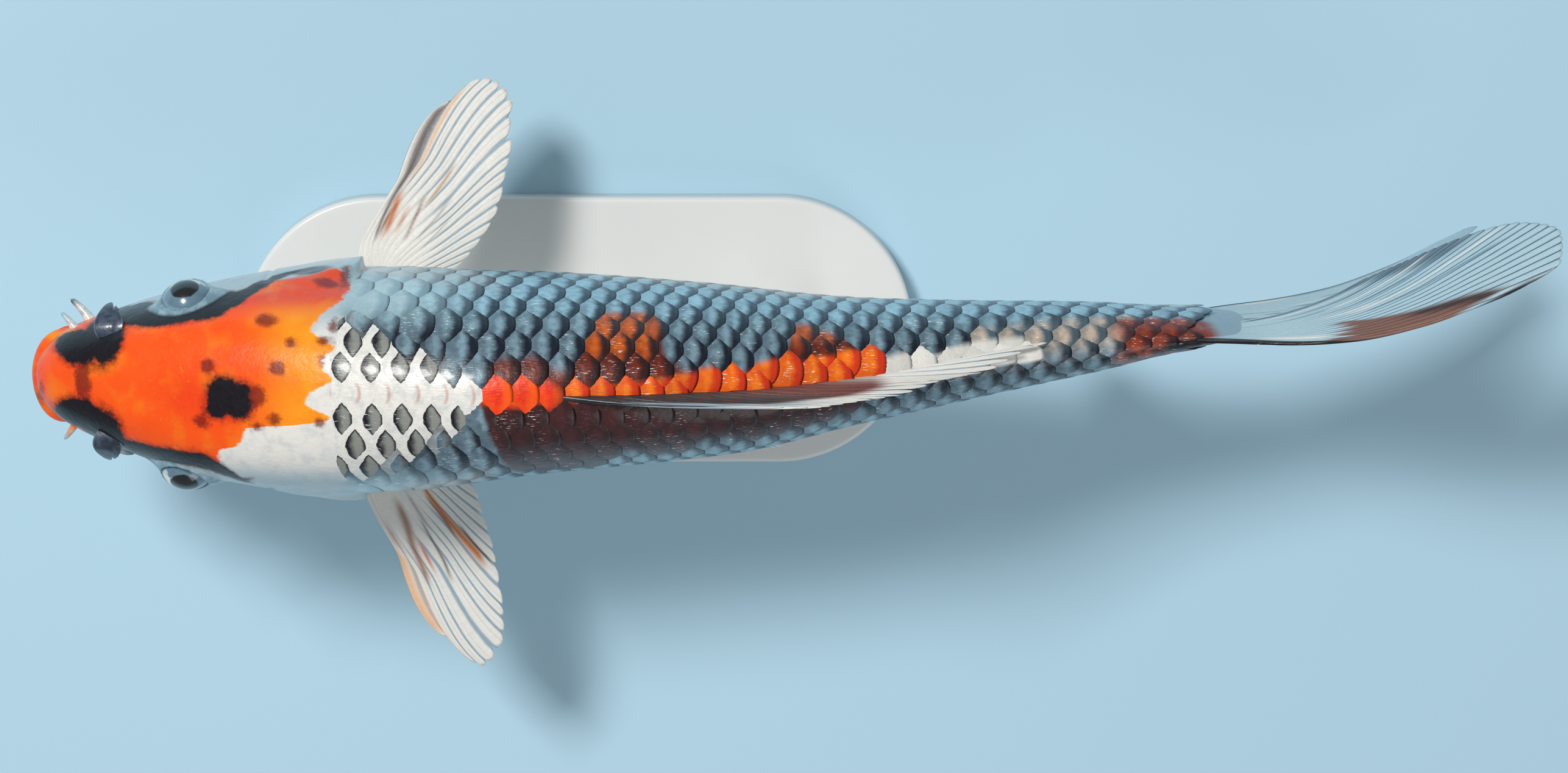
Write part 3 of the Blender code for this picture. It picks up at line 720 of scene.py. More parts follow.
def steel_material():
    """Brushed stainless rod."""
    paint = Paint("stand_steel", Metallic=1.0)
    brush = paint.noise(1.0, 3.0, paint.place(9000, 9000, 300))
    colour = paint.mix(brush, rgb(176, 178, 180), rgb(214, 215, 216))
    paint.bump(brush, 0.00001)
    return paint.show(colour, paint.plus(0.20, 0.25, brush))


MATERIALS = {
    "skin": skin_material(),
    "scales": scale_material(),
    "fin": fin_material(),
    "eye": eye_material(),
    "flap": flap_material(),
    "barbel": barbel_material(),
    "base": base_material(),
    "steel": steel_material(),
}


# ---------------------------------------------------------------------------------------------
# Meshes


def put_in_scene(name, data):
    """A new object in the scene."""
    obj = bpy.data.objects.new(name, data)
    bpy.context.scene.collection.objects.link(obj)
    return obj


def keep(mesh, kind, field, table):
    """Keeps values on the mesh's points, under the names that the materials read."""
    for name, value in table.items():
        data = mesh.attributes.new(name, kind, "POINT").data
        data.foreach_set(field, np.asarray(value, np.float32).ravel())


def piece(name, points, faces, material, replaced, values=None, colours=None, vectors=None,
          corners=None):
    """A piece of the model. faces is a list of arrays of point numbers, one array for each number
    of corners. values, colours and vectors are kept on the points, and corners is the OFBake map."""
    mesh = bpy.data.meshes.new(name)
    points = np.asarray(points, np.float32).reshape(-1, 3)
    faces = [np.asarray(group, np.int32) for group in faces]
    indices = np.concatenate([group.ravel() for group in faces])
    totals = np.concatenate([np.full(len(group), group.shape[1], np.int32) for group in faces])
    mesh.vertices.add(len(points))
    mesh.vertices.foreach_set("co", points.ravel())
    mesh.loops.add(len(indices))
    mesh.loops.foreach_set("vertex_index", indices)
    mesh.polygons.add(len(totals))
    starts = np.concatenate([[0], np.cumsum(totals)[:-1]])
    mesh.polygons.foreach_set("loop_start", starts.astype(np.int32))
    mesh.update(calc_edges=True)
    mesh.shade_smooth()
    opaque = np.ones((len(points), 1))
    keep(mesh, "FLOAT", "value", values or {})
    keep(mesh, "FLOAT_VECTOR", "vector", vectors or {})
    keep(mesh, "FLOAT_COLOR", "color", {
        key: np.concatenate([np.asarray(value).reshape(-1, 3), opaque], axis=1)
        for key, value in (colours or {}).items()
    })
    if corners is not None:
        uvs = np.concatenate([np.asarray(group, np.float32).reshape(-1, 2) for group in corners])
        mesh.uv_layers.new(name="OFBake").data.foreach_set("uv", uvs.ravel())
    mesh.materials.append(MATERIALS[material])
    obj = put_in_scene(name, mesh)
    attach(obj, "root")
    if replaced:
        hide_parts(*replaced)


def grid_quads(rows, columns, wrap=False):
    """Point numbers of a rows by columns grid's quads. wrap closes the columns into rings."""
    across = np.arange(columns if wrap else columns - 1)
    first = (np.arange(rows - 1)[:, None] * columns + across).ravel()
    beside = (np.arange(rows - 1)[:, None] * columns + (across + 1) % columns).ravel()
    return np.stack([first, beside, beside + columns, first + columns], -1)


def border(rows, columns):
    """Point numbers round the edge of a rows by columns grid, in order."""
    count = rows * columns
    return np.concatenate([
        np.arange(columns - 1), np.arange(rows - 1) * columns + columns - 1,
        count - 1 - np.arange(columns - 1), (rows - 1 - np.arange(rows - 1)) * columns,
    ])


def end_fans(rows, columns):
    """Triangles that close a tube of rings, with one more point for each end."""
    count = rows * columns
    here = np.arange(columns)
    following = (here + 1) % columns
    last = count - columns
    return vector(count, following, here), vector(count + 1, last + here, last + following)


def with_ends(grid):
    """A tube's values, and after them the mean of its first ring and of its last."""
    columns = grid.shape[1]
    flat = grid.reshape(len(grid) * columns, -1)
    ends = [flat[:columns].mean(axis=0), flat[-columns:].mean(axis=0)]
    return np.concatenate([flat, ends])


def thin_plate(middle, half):
    """Points and faces of a closed plate: its middle as a grid, and half its thickness there."""
    rows, columns = middle.shape[:2]
    count = rows * columns
    out = grid_normals(middle) * half[..., None]
    points = np.concatenate([(middle + out).reshape(-1, 3), (middle - out).reshape(-1, 3)])
    face = grid_quads(rows, columns)
    edge = border(rows, columns)
    following = np.roll(edge, -1)
    wall = np.stack([edge, following, following + count, edge + count], -1)
    return points, [face[:, ::-1], face + count, wall]


def both_faces(grid):
    """A grid's values, once for each face of a thin plate."""
    return np.concatenate([grid, grid])


def grid_normals(points, wrap=False):
    """Unit normals of a grid of points, by its two directions."""
    down = np.gradient(points, axis=0)
    if wrap:
        over = (np.roll(points, -1, axis=1) - np.roll(points, 1, axis=1)) / 2
    else:
        over = np.gradient(points, axis=1)
    normal = np.cross(over, down)
    return normal / np.maximum(np.linalg.norm(normal, axis=-1, keepdims=True), 1e-12)


# ---------------------------------------------------------------------------------------------
# Skin

SKIN_AROUND = 312
RING_CROWD = 0.08  # draws the skin's mesh together about the eyes
SKIN_INSET = 0.0001  # of the bare head under the solids
COAT_DEPTH = 0.0005  # of the skin under the scales
FLESH_SOFTNESS = 0.00012  # height of the head's soft unevenness
BARE_END = (0.285, 0.262)  # the stations between which the head's own relief fades in
HEAD_END = 0.30  # the station behind which no mark of the head's is read
NO_MARK = -0.1  # a mark's depth there
GILL_MIDDLE, GILL_REACH = 0.222, 0.058
GILL_HIGH, GILL_LOW = math.radians(56), math.radians(128)
GILL_STAND_OFF = 0.0024
GILL_SQUARENESS = 2.35
FOLD_DEPTH = 0.0007
NOSTRIL_STATION, NOSTRIL_ANGLE, NOSTRIL_DEPTH = 0.0735, math.radians(50), 0.0012
LIP_BLEND, LIP_REACH = 0.0008, 0.0034  # of the melting into the skin, and the furthest it moves
SWELL_STEPS = 34
SLIT_DEPTH, CREASE_DEPTH = 0.0009, 0.00012
SNOUT_CAP = 0.0020  # the station that the cap at the snout reaches to
LIP_END = 0.006  # the station ahead of which the skin stays behind the lips' fronts
EYE_OPENING, EYE_OPENING_SOFT = 0.0050, 0.0005
EYE_LONG, EYE_TALL, EYE_MOUND = 0.0096, 0.0070, 0.0030
EYE_LID, LID_BLEND = 0.00012, 0.0010
EYE_STATIONS = (0.08, 0.19)  # that the skin round the eyes lies between
EYE_TILT = {1: math.radians(34), -1: math.radians(46)}  # its axis points out and up
EYE_TURN = math.radians(8)  # and forward


def eye_axes(side):
    """The eye's centre and the unit vector that it looks along."""
    centre = in_frame(EYE["station"], side * EYE["across"], EYE["up"])
    level = math.cos(EYE_TILT[side])
    forward, out = level * math.sin(EYE_TURN), level * math.cos(EYE_TURN)
    return centre, np.array([-forward, side * out, math.sin(EYE_TILT[side])])


def lip_course(lip, t):
    """A lip's middle and radius, from corner to corner as t goes from -1 to 1."""
    low, back, width, radius = LIPS[lip]
    x = SNOUT_X + back + LIP_DEPTH * t * t
    y = SNOUT_Y + width * np.where(t > 0, LIP_RIGHT, 1) * np.sin(t * math.pi / 2)
    z = AXIS_HEIGHT + low - LIP_DROP * t * t
    return x, y, z, radius * (1 - LIP_TAPER * np.abs(t) ** LIP_TAPER_POWER)


def lip_line(lip, count=41):
    """Points along the middle of a lip, and its radius there."""
    x, y, z, radii = lip_course(lip, np.linspace(-1, 1, count))
    return vector(x, y, z), radii


def lip_front(lip, y, z):
    """How far forward a lip reaches at each place across and up, or 1 above and below it."""
    across = (y - SNOUT_Y) / LIPS[lip][2]
    across = np.where(across > 0, across / LIP_RIGHT, across)
    t = 2 / math.pi * np.arcsin(np.clip(across, -1, 1))
    x, _, middle, radius = lip_course(lip, t)
    off = (z - middle) / radius
    return np.where(np.abs(off) < 1, x - radius * np.sqrt(np.maximum(1 - off**2, 0)), 1.0)


def distance_to(points, line, radii=None):
    """Distance of each point to a line through points, less the line's radius there."""
    found = np.full(points.shape[:-1], 1e9)
    radii = np.zeros(len(line)) if radii is None else radii
    for start, end, first, last in zip(line, line[1:], radii, radii[1:]):
        span = end - start
        t = np.clip((points - start) @ span / (span @ span), 0, 1)
        gap = np.linalg.norm(points - start - t[..., None] * span, axis=-1) - (first + (last - first) * t)
        found = np.minimum(found, gap)
    return found


def swell(points, normals, line, radii, blend, reach):
    """How far each point moves along its normal to lie on a tube that melts into the skin.

    It steps out from the skin, and stops between the last place inside the smooth union of skin and
    tube and the first outside it."""
    moved = np.zeros(points.shape[:-1])
    near = distance_to(points, line, radii) < reach
    if not near.any():
        return moved
    start, direction = points[near], normals[near]
    out = np.zeros(len(start))
    last, before = 0.0, np.full(len(start), -1e-9)
    for t in np.linspace(0, reach, SWELL_STEPS)[1:]:
        gap = distance_to(start + direction * t, line, radii)
        mixed = np.maximum(blend - np.abs(gap - t), 0) / blend
        height = np.minimum(gap, t) - mixed * mixed * blend / 4
        share = before / np.minimum(before - height, -1e-9)
        out = np.where((before <= 0) & (height > 0), last + (t - last) * share, out)
        last, before = t, height
    out = np.where(before <= 0, reach, out)
    moved[near] = out
    return moved


def gill_radius(station, angle):
    """1 on the edge of the gill cover, less inside, and how far hindward (-1 to 1) and down."""
    hind = (station - GILL_MIDDLE) / GILL_REACH
    down = (np.abs(angle) - (GILL_HIGH + GILL_LOW) / 2) / ((GILL_LOW - GILL_HIGH) / 2)
    total = np.abs(hind) ** GILL_SQUARENESS + np.abs(down) ** GILL_SQUARENESS
    return total ** (1 / GILL_SQUARENESS), hind, down


def gill_relief(station, angle):
    """Height of the gill cover over the cheek, its grooves, and the shadow line behind it."""
    radius, hind, down = gill_radius(station, angle)
    # The plate rises hindwards and ends in a step, soft at the top and low at the throat.
    slope = np.clip((1 + hind) / 2, 0, 1) ** 1.5
    edge = 0.045 + 0.65 * smooth_step(-down, 0.15, 0.70)
    plate = GILL_STAND_OFF * slope * smooth_step((1 - radius) / edge, 0.0, 1.0)
    plate *= 1 - 0.45 * smooth_step(down, 0.3, 1.0)
    # The bowed groove of its front edge, and faint ridges that fan out.
    groove = -0.00035 * hump(hind + 0.42 - 0.22 * down**2, 0.05) * smooth_step(np.abs(down), 1.0, 0.8)
    bowl = np.arctan2(down + 0.35, hind + 0.75)
    rays = 0.00007 * np.cos(bowl * 26) * smooth_step(radius, 1.0, 0.7) * smooth_step(hind, -0.4, 0.1)
    # The slot behind it, and the slot under the throat.
    trench = hump(radius - 1.035, 0.03) * smooth_step(hind, 0.30, 0.65) * smooth_step(-down, 0.75, 0.45)
    throat = hump(radius - 1.02, 0.03) * smooth_step(down, 0.5, 0.9) * smooth_step(hind, -0.9, -0.5)
    height = plate + groove + rays - 0.0006 * trench - 0.0004 * throat
    return height, np.maximum(trench, 0.6 * throat)


# The station that scales begin at, by ring.
SCALES_START = ((0.0, 0.268), (0.35, 0.272), (0.55, 0.290), (1.3, 0.296), (1.6, 0.290), (2.0, 0.262))


def skin_stations():
    """Rings close together on the head, where the skin shows."""
    snout = np.linspace(0.010, math.sqrt(0.02), 42) ** 2
    head = np.linspace(0.02, 0.28, 200)[1:]
    trunk = np.linspace(0.28, 0.98, 64)[1:]
    tail_root = np.linspace(0.98, 1.04, 14)[1:]
    return np.concatenate([snout, head, trunk, tail_root])


def organic(points):
    """Soft unevenness of flesh, from a few waves, between about -1 and 1."""
    x, y, z = (points * 1000).reshape(-1, 3).T
    wave = np.sin(x * 0.61 + 1.3 * np.sin(y * 0.37 + 0.4))
    wave += np.sin(y * 0.72 + 1.1 * np.sin(z * 0.43 + x * 0.19))
    wave += np.sin(z * 0.66 + 1.2 * np.sin(x * 0.29 + 2.0))
    return (wave / 3).reshape(points.shape[:-1])


def wrap_eye(points, side):
    """Raises an almond-shaped mound round the eye, with a rim on the eyeball and an opening. It also
    gives the share of the mound at each point."""
    centre, axis = eye_axes(side)
    along = np.array([1.0, 0, 0]) - axis[0] * axis
    along = along / np.linalg.norm(along)
    offset = points - centre
    depth = offset @ axis
    long = offset @ along
    tall = np.linalg.norm(offset - depth[..., None] * axis - long[..., None] * along, axis=-1)
    spread = np.hypot(long, tall)
    ball = EYE["radius"]
    near = (spread < EYE_LONG * 1.2) & (depth > -0.004)
    beyond = 1 - (long / EYE_LONG) ** 2
    room = EYE_TALL * np.maximum(beyond, 0.02) ** 0.8
    away = np.hypot(long / EYE_LONG, tall / room * np.sqrt(np.maximum(beyond, 0.0)))
    mound = depth + EYE_MOUND * smooth_step(away, 1.02, 0.30)
    cap = np.sqrt(np.maximum((ball + EYE_LID) ** 2 - spread**2, 0))
    mixed = np.maximum(LID_BLEND - np.abs(mound - cap), 0) / LID_BLEND
    outside = np.maximum(mound, cap) + mixed * mixed * LID_BLEND / 4
    outside = np.where(spread < ball, outside, mound)
    inside = np.sqrt(np.maximum((ball - 0.0010) ** 2 - spread**2, 0))
    opened = smooth_step(spread, EYE_OPENING + EYE_OPENING_SOFT, EYE_OPENING - EYE_OPENING_SOFT)
    wanted = outside * (1 - opened) + inside * opened
    moved = points + axis * (np.where(near, wanted, depth) - depth)[..., None]
    return moved, np.where(near, smooth_step(away, 0.98, 0.86), 0)


def throat_folds(stations, station, angle):
    """1 in the folds under the throat, from the chin back to the breast."""
    middle = np.radians(np.interp(stations, (0.09, 0.28), (172, 144)))[:, None]
    folds = hump(np.abs(angle) - middle, math.radians(2.2))
    return folds * smooth_step(station, 0.08, 0.12) * smooth_step(station, *BARE_END)


def nostril_pits(points):
    """1 in the pit under each nostril flap."""
    pits = np.zeros(points.shape[:-1])
    for side in SIDES.values():
        away = np.linalg.norm(points - body_point(NOSTRIL_STATION, side * NOSTRIL_ANGLE), axis=-1)
        pits = np.maximum(pits, smooth_step(away, 0.0016, 0.0004))
    return pits


def mouth_lines(points):
    """1 in the slit between the lips, and 1 in the crease over the upper lip."""
    upper, lower = (lip_line(name)[0] for name in ("upper", "lower"))
    middle = (upper * 0.48 + lower * 0.52) + np.array([-0.0010, 0, 0])
    crease = upper + np.array([0.0006, 0, 0.0024])
    return hump(distance_to(points, middle), 0.0007), hump(distance_to(points, crease), 0.0005)


def round_snout(points, stations):
    """Lays the rings nearest the tip of the snout again as a smooth cap, behind the lips' fronts."""
    inner = int(np.searchsorted(stations, SNOUT_CAP))
    middle = points[inner].mean(axis=0)
    share = np.sqrt(stations[:inner] / stations[inner])[:, None, None]
    bulge = vector(-0.00030, 0, 0) * (1 - share**2)
    points[:inner] = middle + (points[inner] - middle) * share + bulge
    near = points[stations < LIP_END]
    for name in LIPS:
        near[..., 0] = np.minimum(near[..., 0], lip_front(name, near[..., 1], near[..., 2]))
    points[stations < LIP_END] = near


def skin_uv(stations):
    """The OFBake map of the skin's quads and of its two fans: along the body, and round it."""
    step = 1 / SKIN_AROUND
    left = np.arange(SKIN_AROUND) / SKIN_AROUND
    right, middle = left + step, left + step / 2
    near, far = stations[:-1, None], stations[1:, None]
    first, last = stations[0], 0.999

    def corners(*spots):
        return np.stack([np.stack(np.broadcast_arrays(u, v), -1) for u, v in spots], -2)

    return [
        corners((near, left), (near, right), (far, right), (far, left)),
        np.concatenate([
            corners((0.0, middle), (first, right), (first, left)),
            corners((1.0, middle), (last, left), (last, right)),
        ]),
    ]


def make_skin():
    """One skin from lips to tail root, closed at both ends."""
    stations = skin_stations()
    turns = np.abs(np.linspace(-1, 1, SKIN_AROUND, endpoint=False))
    rings = 2 * turns + RING_CROWD * (np.sin(2 * math.pi * (turns + 0.125)) - math.sin(math.pi / 4))
    rings = rings * np.where(np.arange(SKIN_AROUND) < SKIN_AROUND / 2, -1, 1)
    station, ring = np.meshgrid(stations, rings, indexing="ij")
    angle = angle_at(station, ring)
    start = from_table(SCALES_START, np.abs(ring))
    depth = SKIN_INSET + (COAT_DEPTH - SKIN_INSET) * smooth_step(station, start - 0.012, start)
    across, height = section(station, angle)
    # Behind the body's end the skin thins to a wedge between the tail fin's lobes.
    points = in_frame(station, across * (1 - 0.86 * smooth_step(station, 0.985, 1.035)), height)
    normals = grid_normals(points, wrap=True)
    # Outwards: up in the middle of the back, which is half-way through each ring.
    if np.sum(normals[len(stations) // 2, SKIN_AROUND // 2]) < 0:
        normals = -normals
    relief, gill_shadow = gill_relief(station, angle)
    folds = throat_folds(stations, station, angle)
    pits = nostril_pits(points)
    bare = smooth_step(station, *BARE_END)
    lift = relief - depth + FLESH_SOFTNESS * organic(points) * bare
    lift = lift - FOLD_DEPTH * folds
    lift = lift - NOSTRIL_DEPTH * pits
    for name in LIPS:
        lift = np.maximum(lift, swell(points, normals, *lip_line(name), LIP_BLEND, LIP_REACH) - depth)
    points = points + normals * lift[..., None]
    slit, crease = mouth_lines(points)
    points = points - normals * (SLIT_DEPTH * slit + CREASE_DEPTH * crease)[..., None]
    round_snout(points, stations)
    orbit = np.zeros_like(station)
    for side in SIDES.values():
        moved, mound = wrap_eye(points, side)
        pick = (np.sign(ring) == side) & (station > EYE_STATIONS[0]) & (station < EYE_STATIONS[1])
        points = np.where(pick[..., None], moved, points)
        orbit = np.where(pick, mound, orbit)

    around = girth(station, ring)
    light, dark, nape = body_markings(station, ring)
    body = lay(light * 0.6 + dark * 0.4, WHITE, nape)
    ground = lay(cheek_colour(station, ring), body, smooth_step(station, 0.262, 0.275))
    ray_ends = 0.30 * smooth_step(np.cos(angle * 74), 0.2, 1.0) * smooth_step(station, 0.990, 1.004)
    shade = np.max([slit * 0.85, gill_shadow * 0.8, pits, 0.15 * crease, ray_ends, 0.4 * folds], axis=0)

    def on_head(mark_depth):
        return with_ends(np.where(station < HEAD_END, mark_depth, NO_MARK))

    piece(
        "skin", with_ends(points),
        [grid_quads(*station.shape, wrap=True), np.concatenate(end_fans(*station.shape))],
        "skin",
        ("head", "trunk_front", "trunk_rear", "tail_stalk", "upper_lip", "lower_lip",
         "gill_cover_left", "gill_cover_right"),
        values={
            "hood": on_head(np.minimum(hood_depth(station, around), 0.05)),
            "black": on_head(black_depth(station, around)),
            "smudge": on_head(smudge_depth(station, around)),
            "shade": with_ends(np.clip(shade, 0, 1)),
            "orbit": with_ends(orbit * 0.9),
        },
        colours={"ground": with_ends(ground), "hood_colour": with_ends(hood_colour(station, around))},
        corners=skin_uv(stations),
    )


# ---------------------------------------------------------------------------------------------
# Scales

SCALE_STEPS = 12
SCALE_LONG = 1.95  # length over the distance from one scale to the next
SCALE_WIDE = 1.12  # half width over the distance between rows
SCALE_ROOT, SCALE_EDGE, SCALE_THICK = -0.00062, -0.00012, 0.00026
# Edge, rise and highest place (-1 root, 1 tip) of the cushions that sit in the white nape.
NAPE_LOW, NAPE_RISE, NAPE_CREST = -0.00044, 0.00028, 0.35
MARK_SHARE = 0.6  # of the way from a scale's middle to its edge that the markings are read
# The distance from one scale of a row to the next: station, metres.
SCALE_PITCH = (
    (0.26, 0.0064), (0.32, 0.0062), (0.37, 0.0056), (0.45, 0.0053), (0.55, 0.0050), (0.63, 0.0050),
    (0.75, 0.0053), (0.87, 0.0058), (1.02, 0.0050),
)
# Rows between the lateral line and the middle row of the back, and down to the belly, by station.
ROWS_UP = ((0.26, 7.0), (0.52, 7.0), (0.80, 4.0), (1.00, 4.0))
ROWS_DOWN = ((0.26, 6.0), (0.52, 6.0), (0.80, 4.0), (1.00, 4.0))
ROW_CROWD = 0.066  # how much closer together the rows are on the back
MIDDLE_ROW = ((0.26, 0.050), (0.33, 0.045), (0.40, 0.025), (0.50, 0.010), (0.62, 0.0))  # its ring
ROW_LEAN = 0.11  # of a pitch that each row lies further forward going down the side
LOWEST_ROW, RIDGE_ROW = -6, 7
SCALE_MIDDLE = 0.45  # of a pitch, from a scale's tip to the middle of what shows of it


def row_share(row, station):
    """0 on the middle row of the back, 1 on the lateral line and 2 on the belly."""
    return 1 - row / np.where(row >= 0, from_table(ROWS_UP, station), from_table(ROWS_DOWN, station))


def row_ring(row, station, side):
    """The ring of a row at a station. Rows are counted up from the lateral line."""
    share = row_share(row, station)
    crowded = share - ROW_CROWD * np.sin(math.pi * np.minimum(share, 1))
    return side * crowded + from_table(MIDDLE_ROW, station) * np.cos(math.pi / 2 * np.clip(share, -1, 1))


def around_back(ring):
    """A ring brought back between -2 and 2."""
    return np.where(ring > 2, ring - 4, np.where(ring < -2, ring + 4, ring))


def scale_places():
    """Each scale's hind tip as a station, its row, its side of the body and its ring."""
    stations = np.linspace(0.24, 1.02, 1600)
    counts = np.cumsum(BODY_LENGTH * np.gradient(stations) / from_table(SCALE_PITCH, stations))
    found = []
    for row in range(LOWEST_ROW, RIDGE_ROW + 1):
        numbers = np.arange(-4, counts[-1] + 4) + 0.5 * (row % 2) + ROW_LEAN * row
        tips = np.interp(numbers[(numbers > 0) & (numbers < counts[-1])], counts, stations)
        for side in SIDES.values():
            ring = row_ring(np.full(len(tips), float(row)), tips, side)
            share = row_share(row, tips)
            start = from_table(SCALES_START, np.abs(ring))
            stop = 1.0 - 0.012 * np.abs(np.abs(ring) - 1)
            # A row on the ridge or on the belly's middle line belongs to the right side alone.
            middle = (np.abs(share) < 0.02) | (np.abs(share - 2) < 0.02)
            kept = (tips > start) & (tips < stop) & (share > -0.02) & (share < 2.02)
            kept &= (side > 0) | ~middle
            found.extend((tip, row, side, where) for tip, where in zip(tips[kept], ring[kept]))
    return np.array(found)


def scale_template():
    """A disc's points, from a square grid, as along (-1 front, 1 hind) and beside, and its faces."""
    line = np.linspace(-1, 1, SCALE_STEPS + 1)
    along, beside = np.meshgrid(line, line, indexing="ij")
    x = along * np.sqrt(1 - beside**2 / 2)
    y = beside * np.sqrt(1 - along**2 / 2)
    n = SCALE_STEPS + 1
    top = grid_quads(n, n)
    first = np.arange(SCALE_STEPS) * n
    under = np.stack([first, first + n, first + n + SCALE_STEPS, first + SCALE_STEPS], -1)
    front = np.arange(n)[None, ::-1]
    hind = (np.arange(n) + SCALE_STEPS * n)[None]
    return x.ravel(), y.ravel(), [top, under, front, hind]


def scale_coat(name, side, tips, rows, rings, jitter, chance, tilt):
    """One side's scales. All but the first two are columns with one value for each scale."""
    x, y, template = scale_template()
    rim = np.hypot(x, y)
    pitch = from_table(SCALE_PITCH, tips)
    middle = tips - SCALE_MIDDLE * pitch / BODY_LENGTH
    station = tips - SCALE_LONG * pitch / 2 * (1 - x) / BODY_LENGTH
    ring = row_ring(rows - SCALE_WIDE * y, station, side)
    # The markings' edges follow the scales' outlines in part.
    spot = middle + MARK_SHARE * (station - middle)
    turn = around_back(rings + MARK_SHARE * (ring - rings))
    inside = np.clip(spot, 0.2, 1.0)
    light, dark, _ = body_markings(inside, turn)
    finger = smooth_step(hood_depth(spot, girth(inside, turn)), -0.002, 0.002)
    light, dark = lay_pair((light, dark), finger, YELLOW, ORANGE)
    # Scales on the nape and beside it lie flatter, sunk in the white.
    _, _, nape = body_markings(middle, rings)
    nape = nape * (1 - finger)
    flat = smooth_step(nape_depth(middle, girth(middle, rings), 0.028), -0.010, 0.020)
    flat = flat * smooth_step(middle, 0.40, 0.36)
    crest = np.maximum(1 - (x - NAPE_CREST) ** 2 / (1 - NAPE_CREST) ** 2 - y**2, -1)
    lift = SCALE_ROOT + (SCALE_EDGE - SCALE_ROOT) * (x + 1) / 2 * tilt
    lift = (lift + SCALE_THICK * (1 - rim**3.5)) * (1 - flat) + flat * (NAPE_LOW + NAPE_RISE * crest)
    within = np.clip(station, 0, 1)
    points = body_point(within, angle_at(within, around_back(ring)), lift)
    offset = (np.arange(len(tips)) * len(x))[:, None, None]
    groups = [(faces[None] + offset).reshape(-1, faces.shape[1]) for faces in template]
    root = np.stack([np.clip(station[:, :1], 0.002, 0.998), rings / 4 + 0.5], -1)
    uv = np.clip(root + np.stack([x, y], -1) * 0.0015, 0, 1).reshape(-1, 2)
    values = {
        "chance": chance, "nape": nape, "shine": smooth_step(np.abs(rings), 0.72, 0.42),
        "clean": (rows == RIDGE_ROW).astype(float), "sunk": flat * (1 - nape),
    }
    cell = vector(rim, (1 - x) * SCALE_LONG / 2, y * SCALE_WIDE)
    piece(
        "scales_" + name, points, groups, "scales", (),
        values={key: np.broadcast_to(value, station.shape) for key, value in values.items()},
        vectors={"cell": np.broadcast_to(cell, points.shape)},
        colours={"light": light * jitter[..., None], "dark": dark * jitter[..., None]},
        corners=[uv[group.ravel()] for group in groups],
    )


def make_scales():
    """Overlapping scales in rows, each a thin cushion whose root lies under those ahead of it."""
    random = np.random.default_rng(7)
    tips, rows, sides, rings = scale_places().T
    jitter = 1 + 0.20 * (random.random(len(tips)) - 0.5)
    chance = random.random(len(tips))
    tilt = 1 + 0.12 * (random.random(len(tips)) - 0.5)
    for name, side in SIDES.items():
        own = sides == side
        columns = (tips, rows, rings, jitter, chance, tilt)
        scale_coat(name, side, *(column[own][:, None] for column in columns))


# ---------------------------------------------------------------------------------------------
# Fins

# Each fin's root on the body: the station and the degrees round from the back at which it begins,
# how much further each of them runs to its hind end, and how deep the root is sunk.
FIN_ROOTS = {
    "pectoral": (0.277, 0.014, 128, 6, 0.0030),
    "pelvic": (0.487, 0.020, 152, 6, 0.0025),
    "dorsal": (0.436, 0.342, 0, 0, 0.0015),
    "anal": (0.795, 0.072, 180, 0, 0.0020),
}
# The tips of the pectoral rays from the leading edge back: where across the fin, degrees back
# from straight out, and the ray's length.
PECTORAL_TIPS = {
    1: (
        (0, 19.5, 0.170), (0.03, 20.6, 0.178), (0.058, 23.0, 0.187), (0.072, 25.2, 0.208),
        (0.156, 28.1, 0.216), (0.22, 30.2, 0.217), (0.34, 35.2, 0.208), (0.41, 38.2, 0.191),
        (0.47, 42.2, 0.176), (0.59, 46.4, 0.154), (0.72, 54.4, 0.126), (0.84, 61.4, 0.097),
        (0.97, 69.1, 0.070), (1, 71, 0.062),
    ),
    -1: (
        (0, 17, 0.176), (0.033, 18.1, 0.184), (0.062, 20.3, 0.191), (0.078, 22.0, 0.212),
        (0.167, 24.6, 0.223), (0.233, 26.5, 0.221), (0.30, 30.6, 0.211), (0.43, 34.4, 0.189),
        (0.50, 36.1, 0.178), (0.567, 39.4, 0.159), (0.70, 44.6, 0.133), (0.83, 51.6, 0.105),
        (0.90, 56, 0.094), (1, 64, 0.072),
    ),
}
# How much further forward, in degrees, the leading ray lies on its way out.
PECTORAL_BEND = (
    (0, -48), (0.17, -36), (0.32, -20), (0.40, -14), (0.50, -8.5), (0.60, -5.5), (0.72, -4.8),
    (0.83, -3.8), (0.93, -2), (1, 0),
)
# The other fins' rays: where across the fin, and the ray's length.
DORSAL_RAYS = ((0, 0.180), (0.05, 0.198), (0.2, 0.178), (0.4, 0.155), (0.6, 0.132), (0.8, 0.110), (1, 0.084))
PELVIC_RAYS = ((0, 0.130), (0.2, 0.158), (0.6, 0.125), (1, 0.060))
ANAL_RAYS = ((0, 0.085), (0.15, 0.100), (0.5, 0.070), (1, 0.040))
TAIL_RAYS = ((0, 0.170), (0.05, 0.272), (0.12, 0.318), (0.25, 0.322), (0.4, 0.298), (0.7, 0.215), (1, 0.150))
PECTORAL_COUNT = {"left": 15, "right": 16}  # of rays
PECTORAL_TRIM = 0.985  # keeps the tips in the solids' outline
PECTORAL_DROOP = {1: math.radians(20), -1: math.radians(4)}
PECTORAL_CUP = 0.0022
DORSAL_LEAN = (math.radians(16), math.radians(-36))  # to the fish's left: in front, then behind
PELVIC_DROP = 0.26
PELVIC_SPREAD = {"left": 0.42, "right": -0.04}
TAIL_START = 0.975  # the station of its rays' roots
TAIL_FAN = math.radians(27)
TAIL_ROOT = {1: 0.056, -1: 0.052}  # height of each lobe's root
TAIL_SCALE = {1: 1.0, -1: 0.87}
TAIL_CUP = {1: 0.080, -1: 0.010}

